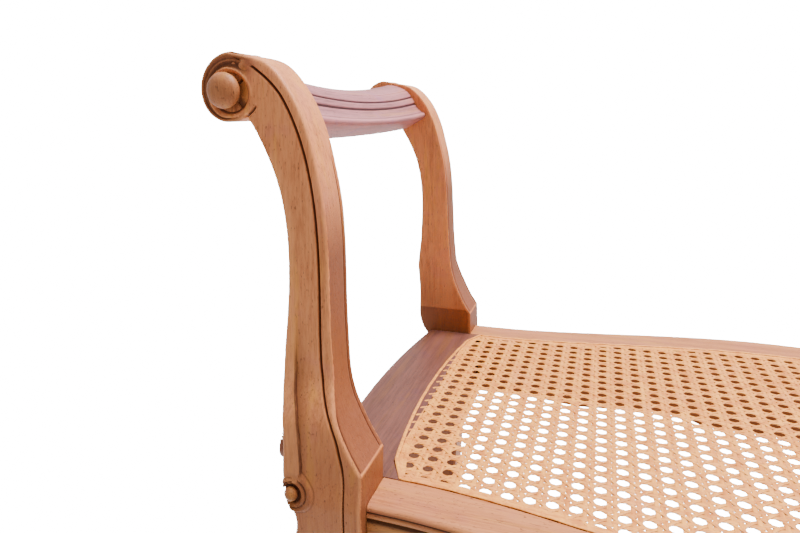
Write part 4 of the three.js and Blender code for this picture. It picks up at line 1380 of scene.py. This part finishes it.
# Marks along a rail's section: the first point, then one value for each point from there
RAIL_MARKS = {
    "hollow": ((15, (0.4, 0.8, 1, 1, 1, 0.7)), (28, (0.5, 0.9, 1, 1, 0.6))),
    "worn_and_highlit": ((22, (0.5, 0.7, 0.7, 0.6)), (34, (0.4, 0.5, 0.6, 0.6, 0.5, 0.3))),
    "raw_and_shaded": ((55, (0.6, 1, 1, 1, 1, 1, 1, 1, 0.5)),),
}
LONG_RAIL_TONE = 0.7


def rail_marks(rings):
    """Wax and painted shade in the quirks, wear and painted highlights on the bead and the arris, and unwaxed
    wood under the cane darkened by painted shade.
    """
    marks = {}
    for name, runs in RAIL_MARKS.items():
        values = np.zeros(rings.shape[1])
        for first, run in runs:
            values[first:first + len(run)] = run
        marks[name] = np.tile(values, len(rings))
    return marks


def mirrored_pieces(name, sides, axis, rings, finish, slot, marks, node):
    """Two pieces alike, one for the negative and one for the positive side of an axis."""
    for side, sign in zip(sides, (-1, 1)):
        placed = rings.copy()
        placed[..., axis] *= sign
        piece = swept_piece(f"{name}_{side}", placed, finish, slot, marks=marks, weld=WELD)
        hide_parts(f"{node}_{side}")


def build_seat_rails(scene):
    rings = long_rail_rings(RailPlan(scene))
    finish = wood_finish("rail_walnut", walnut_tones(scene, LONG_RAIL_TONE), "x", gloss=0.38)
    sides, marks = ("front", "back"), rail_marks(rings)
    mirrored_pieces("moulded_rail", sides, 1, rings, finish, "walnut", marks, "seat_rail")


def build_end_rails(scene):
    rings = end_rail_rings(RailPlan(scene))
    tone = scene.bench_finishes.end_rail
    finish = wood_finish("end_rail_wood", (tone, scaled(tone, 1.5), scaled(tone, 0.4)), "y", gloss=0.36)
    sides, marks = ("left", "right"), rail_marks(rings)
    mirrored_pieces("moulded_end_rail", sides, 0, rings, finish, "end_rail_wood", marks, "end_rail")


# The crest rail: its top surface is drawn along a chord, from its outer edge in and down

CREST_START = np.array([95.0, 296.5])
CREST_ALONG = np.array([-0.773, -0.6365])
CREST_OUT = np.array([-0.6365, 0.773])
CREST_TOP = (
    (0, 0), (3, 2.2), (7, 4.6), (13.5, 7.0), (20.4, 8.6), (25, 8.2), (29.5, 7.2), (33, 6.1), (37, 4.4),
    (40.5, 2.7), (44, 2.1), (48, 2.1), (51.1, 2.6), (53.2, 2.5), (54.4, 1.4),
)
CREST_TOP_STEPS = 12
CREST_TOP_POINTS = 125
CREST_UNDER = (
    (52.4, 261.6), (54.0, 259.9), (74.5, 248.9), (77.2, 249.0), (109.2, 279.4), (109.6, 281.0),
    (105.2, 289.6),
)
# Each groove: place along the chord, depth, half its width, and how dark the wax and painted shade in it are
CREST_GROOVES = ((20.4, 0.5, 1.0, 0.35), (29.5, 1.3, 1.6, 1.0), (37.2, 1.5, 1.7, 1.0), (49.2, 0.4, 1.2, 0.5))
# Painted highlight strips, partly wear, beside each groove and along the inner edge: middle and half width
CREST_GROOVE_HIGHLIGHT = (0.6, 0.6)
CREST_EDGE_HIGHLIGHT = (52.0, 1.4)
# How far a line of the crest rail sinks at the middle, at the heights of its bottom and top
CREST_DIPS = ((249.0, 2.5), (293.5, 8.5))
CREST_STATIONS = 61


def crest_section():
    """Places in u and z with their dips, and marks of wax with painted shade, and of wear with painted
    highlights.
    """
    keys = np.array(CREST_TOP, float)
    line = curve(keys, [CREST_TOP_STEPS] * (len(keys) - 1))
    along = np.linspace(0, keys[-1, 0], CREST_TOP_POINTS)
    out = np.interp(along, line[:, 0], line[:, 1])
    carved = Carving(len(along))
    for place, depth, half_width, dark in CREST_GROOVES:
        from_middle = np.abs(along - place)
        near = np.clip(1 - from_middle / half_width, 0, 1)
        out = out - depth * smooth(near)
        carved.mark("hollow", smooth(near * 1.3) * dark)
        carved.mark("worn_and_highlit", 0.5 * strip_near(from_middle - half_width, CREST_GROOVE_HIGHLIGHT))
    carved.mark("worn_and_highlit", 0.9 * strip_near(along, CREST_EDGE_HIGHLIGHT))
    top = CREST_START + along[:, None] * CREST_ALONG + out[:, None] * CREST_OUT
    places = np.vstack([top, CREST_UNDER])
    marks = {name: np.pad(carved.marks[name], (0, len(CREST_UNDER))) for name in ("hollow", "worn_and_highlit")}
    return places, np.interp(places[:, 1], *np.transpose(CREST_DIPS)), marks


def build_crest_rails(scene):
    plan, carving = scene.bench_plan, scene.bench_carving
    places, dips, marks = crest_section()
    rings = []
    for along in np.linspace(-1, 1, CREST_STATIONS):
        z = places[:, 1] - dips * (1 - along**2)
        back_face = in_mm(plan.half_depth - carving.post_thickness) - plan.lean * z
        y = along * (back_face - in_mm(scene.bench_rails.joint_gap))
        x = in_mm(plan.half_clear) + places[:, 0]
        rings.append(np.stack([x, y, in_mm(plan.seat_height) + z], axis=1))
    # The crest's wood colour with a painted lilac sheen in it
    tone = scene.bench_finishes.crest
    tones = (tone, scaled(tone, 1.5), scaled(tone, 0.28))
    finish = wood_finish("lilac_sheen_crest_wood", tones, "y", gloss=0.4)
    marks = {name: np.tile(values, len(rings)) for name, values in marks.items()}
    sides = ("left", "right")
    mirrored_pieces("fluted_crest", sides, 0, np.array(rings), finish, "crest_wood", marks, "crest_rail")


# The cane, in millimetres: woven pairs both ways and two sets of diagonals

PAIR_OFFSET_ALONG = 2.0
PAIR_OFFSET_ACROSS = 1.72
PAIR_START = 9.9
WEAVE_SWING = 0.42
DIAGONAL_SWING = 0.62
CANE_LEVEL = -0.75
STEPS_PER_PITCH = 6
EDGE_MARGIN = 1.2
SHORTEST_RUN = 3
BORDER_STRAND_MARGINS = (4.6, 7.4)
BORDER_STRAND_RISE = 0.3
# Widths as shares of a strand's that runs across the bench
LONG_STRAND_SHARE = 0.96
BORDER_STRAND_SHARE = 0.9
# A strand's section: across in shares of its width and up in shares of its thickness
STRAND_SECTION = (
    (-0.5, -0.3), (-0.5, 0.1), (-0.36, 0.36), (0, 0.5), (0.36, 0.36), (0.5, 0.1), (0.5, -0.3),
)
# How dark each of those places is painted, as painted shade on a strand's sides
STRAND_SIDE_SHADE = (1, 0.7, 0, 0, 0, 0.7, 1)
BINDER_SIDE_SHADE = (1, 0.6, 0, 0, 0, 0.6, 1)


def runs_inside(keep):
    """Starts and ends of the runs of true values."""
    edges = np.flatnonzero(np.diff(np.concatenate([[0], keep.astype(int), [0]])))
    return edges.reshape(-1, 2)


def ribbon(centre, width, thickness):
    """Rings of a domed strand's section along a line of centre points."""
    step = np.gradient(centre, axis=0)
    side = np.stack([-step[:, 1], step[:, 0]], axis=1)
    side = side / np.linalg.norm(side, axis=1)[:, None]
    rings = np.empty((len(centre), len(STRAND_SECTION), 3))
    for i, (across, up) in enumerate(STRAND_SECTION):
        rings[:, i, :2] = centre[:, :2] + side * across * width
        rings[:, i, 2] = centre[:, 2] + up * thickness
    return rings


def ribbon_mesh(rings_list):
    """Points, faces and edge marks of many strands, each closed at both its ends."""
    points, faces, edge, first = [], [], [], 0
    for rings in rings_list:
        rows, columns = rings.shape[:2]
        points.append(rings.reshape(-1, 3))
        faces.extend(grid_faces(rows, columns, first, closed=True).tolist())
        faces.append(list(range(first, first + columns))[::-1])
        last = first + (rows - 1) * columns
        faces.append(list(range(last, last + columns)))
        edge.append(np.tile(STRAND_SIDE_SHADE, rows))
        first += rows * columns
    return np.vstack(points), faces, {"edge": np.concatenate(edge)}


class Weave:
    """Strands of the cane seat, clipped to its border."""

    def __init__(self, plan, cane):
        self.plan = plan
        self.pitch_x = in_mm(cane.pitch_along)
        self.pitch_y = in_mm(cane.pitch_across)
        self.width = in_mm(cane.strand_width)
        self.diagonal_width = in_mm(cane.diagonal_width)
        self.thickness = in_mm(cane.strand_thickness)
        self.level = plan.seat + CANE_LEVEL
        self.columns = int(plan.half_clear / self.pitch_x) + 3
        self.rows = int(plan.half_depth * 1.3 / self.pitch_y) + 3

    def pitches(self, count):
        """Places from one end of the weave to the other, counted in pitches from its middle."""
        return np.arange(-count * STEPS_PER_PITCH, count * STEPS_PER_PITCH + 1) / STEPS_PER_PITCH

    def clipped(self, x, y, z, width):
        """A line of places cut at the border, as strands of a width."""
        keep = self.plan.inside(x, y, EDGE_MARGIN)
        strands = []
        for start, end in runs_inside(keep):
            if end - start > SHORTEST_RUN:
                centre = np.stack([x[start:end], y[start:end], self.level + z[start:end]], axis=1)
                strands.append(ribbon(centre, width, self.thickness))
        return strands

    def cross_pairs(self):
        """Strands that run across the bench, in pairs."""
        strands = []
        row = self.pitches(self.rows)
        for column in range(-self.columns, self.columns + 1):
            for side in (-1, 1):
                x = np.full(len(row), PAIR_START + column * self.pitch_x + side * PAIR_OFFSET_ALONG)
                z = -side * WEAVE_SWING * np.sin(2 * math.pi * row)
                strands += self.clipped(x, row * self.pitch_y, z, self.width)
        return strands

    def long_pairs(self):
        """Strands that run along the bench, in pairs."""
        strands = []
        column = self.pitches(self.columns)
        width = self.width * LONG_STRAND_SHARE
        for row in range(-self.rows, self.rows + 1):
            for side in (-1, 1):
                y = np.full(len(column), row * self.pitch_y + side * PAIR_OFFSET_ACROSS)
                z = side * WEAVE_SWING * np.sin(2 * math.pi * column)
                strands += self.clipped(PAIR_START + column * self.pitch_x, y, z, width)
        return strands

    def border_strands(self):
        """Strands laid round inside the binder, where the weave is drawn down into its holes."""
        strands = []
        for margin in BORDER_STRAND_MARGINS:
            line = border_line(self.plan, margin)
            line = np.vstack([line, line[:1]])
            centre = np.column_stack([line, np.full(len(line), self.level + BORDER_STRAND_RISE)])
            strands.append(ribbon(centre, self.width * BORDER_STRAND_SHARE, self.thickness))
        return strands

    def diagonals(self, direction):
        """Diagonal strands rising (1) or falling (-1) across the bench as they go along it."""
        strands = []
        reach = self.columns + self.rows
        column = self.pitches(self.columns)
        for start in range(-reach, reach):
            row = direction * (column - start - 0.5)
            z = -direction * DIAGONAL_SWING * np.cos(2 * math.pi * column)
            x, y = PAIR_START + column * self.pitch_x, row * self.pitch_y
            strands += self.clipped(x, y, z, self.diagonal_width)
        return strands


def build_cane(scene):
    plan = RailPlan(scene)
    weave = Weave(plan, scene.bench_cane)
    tones = (scene.bench_finishes.cane, scene.bench_finishes.cane_dark)
    sets = (
        ("cane_cross_pairs", weave.cross_pairs(), "y"),
        ("cane_long_pairs", weave.long_pairs() + weave.border_strands(), "x"),
        ("cane_rising_diagonals", weave.diagonals(1), None),
        ("cane_falling_diagonals", weave.diagonals(-1), None),
    )
    for name, strands, axis in sets:
        points, faces, marks = ribbon_mesh(strands)
        finish = cane_finish(f"{name}_finish", tones, axis)
        piece = new_piece(name, points, faces, finish, "cane", marks=marks)
        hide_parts("cane_seat")


BORDER_STEPS_ALONG = 90
BORDER_STEPS_ACROSS = 30
# The binder: clear of the wood, over the seat, its waves from strand to strand, and its thickness
BINDER_GAP = 0.3
BINDER_RISE = 0.25
BINDER_WAVE = 0.18
BINDER_WAVE_TURN = 0.9
BINDER_THICKNESS = 1.3


def border_line(plan, margin):
    """The cane's border, once round, drawn in by a margin."""
    x = np.linspace(0, plan.corner_run_end, BORDER_STEPS_ALONG)
    quarter = [(a, plan.border(a) - margin) for a in x]
    y = np.linspace(plan.side_depth, 0, BORDER_STEPS_ACROSS)
    quarter += [(plan.border_end(b) - margin, b - margin * b / plan.side_depth) for b in y]
    quarter = np.array(quarter)
    signs = ((1, 1, 1), (1, -1, -1), (-1, -1, 1), (-1, 1, -1))
    parts = [quarter[::step][:-1] * np.array([sx, sy]) for sx, sy, step in signs]
    return np.vstack(parts)


def build_binder(scene):
    plan = RailPlan(scene)
    cane = scene.bench_cane
    width = in_mm(cane.binder_width)
    tones = (scene.bench_finishes.cane, scene.bench_finishes.cane_dark)
    finish = cane_finish("binder_cane", tones, None)
    line = border_line(plan, BINDER_GAP + width / 2)
    wave = BINDER_WAVE * np.sin(np.arange(len(line)) * BINDER_WAVE_TURN)
    level = plan.seat + BINDER_RISE + wave
    centre = np.column_stack([line, level])
    centre = np.vstack([centre[-1:], centre, centre[:1]])
    rings = ribbon(centre, width, BINDER_THICKNESS)[1:-1]
    rows, columns = rings.shape[:2]
    faces = grid_faces(rows, columns, closed=True).tolist()
    joint = (rows - 1) * columns
    faces += [
        [joint + i, joint + (i + 1) % columns, (i + 1) % columns, i] for i in range(columns)
    ]
    marks = {"edge": np.tile(BINDER_SIDE_SHADE, rows)}
    piece = new_piece("cane_binder", rings.reshape(-1, 3), faces, finish, "cane", marks=marks)
    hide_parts("cane_binding")


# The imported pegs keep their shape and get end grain

def dress_pegs(scene):
    tone = scene.bench_finishes.peg
    finish = wood_finish("peg_end_grain", (tone, scaled(tone, 1.7), scaled(tone, 0.4)), "y", gloss=0.45)
    for corner, _, _ in CORNERS:
        for rail in ("rail", "end"):
            for height in ("upper", "lower"):
                peg = bpy.data.objects[f"peg_{corner}_{rail}_{height}"]
                peg.data.materials.clear()
                peg.data.materials.append(finish)


# Camera, floor and light

STUDIO_REACH = 30
BACKDROP_SUBDIVISIONS = 4
SENSOR_WIDTH = 36
FLOOR_SUN_SPREAD = math.radians(60)
OVERHEAD_SIZE = 1.4
OVERHEAD_PLACE = (0.35, 0.35, 2.5)
OVERHEAD_TARGET = (-0.2, 0, 0.5)


def build_camera(studio):
    camera = bpy.data.objects.new("camera", bpy.data.cameras.new("camera"))
    bpy.context.scene.collection.objects.link(camera)
    camera.data.sensor_width = SENSOR_WIDTH
    camera.data.lens = studio.lens
    camera.rotation_mode = "QUATERNION"
    heading = Quaternion((0, 0, 1), studio.heading)
    pitch = Quaternion((1, 0, 0), math.radians(90) - studio.pitch)
    roll = Quaternion((0, 0, 1), studio.roll)
    camera.rotation_quaternion = heading @ pitch @ roll
    camera.location = studio.place
    bpy.context.scene.camera = camera


def staged(name, shape, finish):
    """A studio piece that is seen but throws no light back on the bench."""
    mesh = bpy.data.meshes.new(name)
    shape.to_mesh(mesh)
    shape.free()
    mesh.materials.append(finish)
    piece = bpy.data.objects.new(name, mesh)
    bpy.context.scene.collection.objects.link(piece)
    piece.visible_diffuse = False
    piece.visible_glossy = False
    return piece


def build_surroundings(scene):
    """The pale floor under its own light, and the white backdrop round it."""
    floor_shape = bmesh.new()
    bmesh.ops.create_grid(floor_shape, x_segments=1, y_segments=1, size=STUDIO_REACH)
    floor = staged("studio_floor", floor_shape, floor_finish(scene.bench_finishes.floor))
    backdrop_shape = bmesh.new()
    bmesh.ops.create_icosphere(backdrop_shape, subdivisions=BACKDROP_SUBDIVISIONS, radius=STUDIO_REACH)
    backdrop = staged("studio_backdrop", backdrop_shape, backdrop_finish(scene.bench_studio.backdrop))
    backdrop.visible_shadow = False
    lit = bpy.data.collections.new("floor_only")
    lit.objects.link(floor)
    sun = bpy.data.objects.new("floor_sun", bpy.data.lights.new("floor_sun", "SUN"))
    sun.data.energy = scene.bench_studio.floor_sun
    sun.data.angle = FLOOR_SUN_SPREAD
    bpy.context.scene.collection.objects.link(sun)
    sun.light_linking.receiver_collection = lit


def area_light(name, power, size, place, target):
    light = bpy.data.objects.new(name, bpy.data.lights.new(name, "AREA"))
    light.data.energy = power
    light.data.shape = "DISK"
    light.data.size = size
    light.location = place
    light.rotation_mode = "QUATERNION"
    light.rotation_quaternion = (Vector(target) - Vector(place)).to_track_quat("-Z", "Y")
    bpy.context.scene.collection.objects.link(light)


def build_light(studio):
    world = bpy.data.worlds.new("white_surroundings")
    bpy.context.scene.world = world
    tree = Tree(world)
    around = tree.add("ShaderNodeTexCoord", {}, {}, output="Generated")
    right, back, up = (
        tree.add("ShaderNodeSeparateXYZ", {}, {"Vector": around}, output=axis) for axis in ("X", "Y", "Z")
    )
    from_front = 1.0 - back.above(-1.0, 0.4)
    strength = studio.sky * (1.0 - (1.0 - studio.front_share) * from_front)
    strength = strength * (1.0 - (1.0 - studio.right_share) * right.above(0.0, 1.0))
    strength = strength * (1.0 + (studio.floor_share - 1.0) * (0.0 - up).above(0.1, 1.0))
    tree.feed(tree.nodes["Background"], {"Color": (1, 1, 1, 1), "Strength": strength})
    area_light("overhead_light", studio.key, OVERHEAD_SIZE, OVERHEAD_PLACE, OVERHEAD_TARGET)


# Operators, one for each group of pieces and one for the stage

class BENCH_OT_uprights(bpy.types.Operator):
    """Build the carved uprights with their bosses and eyes"""

    bl_idname = "hall_bench.uprights"
    bl_label = "Build Uprights"

    def execute(self, context):
        build_uprights(context.scene)
        return {"FINISHED"}


class BENCH_OT_crest_rails(bpy.types.Operator):
    """Build the two fluted crest rails"""

    bl_idname = "hall_bench.crest_rails"
    bl_label = "Build Crest Rails"

    def execute(self, context):
        build_crest_rails(context.scene)
        return {"FINISHED"}


class BENCH_OT_seat_rails(bpy.types.Operator):
    """Build the long and the end rails of the seat"""

    bl_idname = "hall_bench.seat_rails"
    bl_label = "Build Seat Rails"

    def execute(self, context):
        build_seat_rails(context.scene)
        build_end_rails(context.scene)
        dress_pegs(context.scene)
        return {"FINISHED"}


class BENCH_OT_cane_seat(bpy.types.Operator):
    """Weave the cane seat and lay its binder"""

    bl_idname = "hall_bench.cane_seat"
    bl_label = "Weave Seat"

    def execute(self, context):
        build_cane(context.scene)
        build_binder(context.scene)
        return {"FINISHED"}


class BENCH_OT_stage(bpy.types.Operator):
    """Set up the camera, the floor and the light"""

    bl_idname = "hall_bench.stage"
    bl_label = "Set Up Stage"

    def execute(self, context):
        build_camera(context.scene.bench_studio)
        build_surroundings(context.scene)
        build_light(context.scene.bench_studio)
        return {"FINISHED"}


class BENCH_PT_panel(bpy.types.Panel):
    """Sizes, finishes and build buttons"""

    bl_idname = "BENCH_PT_panel"
    bl_label = "Hall Bench"
    bl_space_type = "VIEW_3D"
    bl_region_type = "UI"
    bl_category = "Hall Bench"

    def draw(self, context):
        for name in SETTINGS:
            box = self.layout.box()
            settings = getattr(context.scene, name)
            for prop in settings.bl_rna.properties:
                if prop.identifier not in ("rna_type", "name"):
                    box.prop(settings, prop.identifier)
        for operator in OPERATORS:
            self.layout.operator(operator.bl_idname)


SETTINGS = {
    "bench_plan": BenchPlan,
    "bench_carving": CarvingSizes,
    "bench_rails": RailSizes,
    "bench_cane": CaneSizes,
    "bench_finishes": BenchFinishes,
    "bench_studio": StudioSizes,
}
OPERATORS = (
    BENCH_OT_stage, BENCH_OT_uprights, BENCH_OT_crest_rails, BENCH_OT_seat_rails, BENCH_OT_cane_seat,
)


def register():
    for settings in SETTINGS.values():
        bpy.utils.register_class(settings)
    for operator in OPERATORS:
        bpy.utils.register_class(operator)
    bpy.utils.register_class(BENCH_PT_panel)
    for name, settings in SETTINGS.items():
        setattr(bpy.types.Scene, name, bpy.props.PointerProperty(type=settings))


def unregister():
    for name in SETTINGS:
        delattr(bpy.types.Scene, name)
    for each in (BENCH_PT_panel, *reversed(OPERATORS), *reversed(SETTINGS.values())):
        bpy.utils.unregister_class(each)


def main():
    register()
    bpy.ops.hall_bench.stage()
    bpy.ops.hall_bench.uprights()
    bpy.ops.hall_bench.crest_rails()
    bpy.ops.hall_bench.seat_rails()
    bpy.ops.hall_bench.cane_seat()


if __name__ == "__main__":
    main()
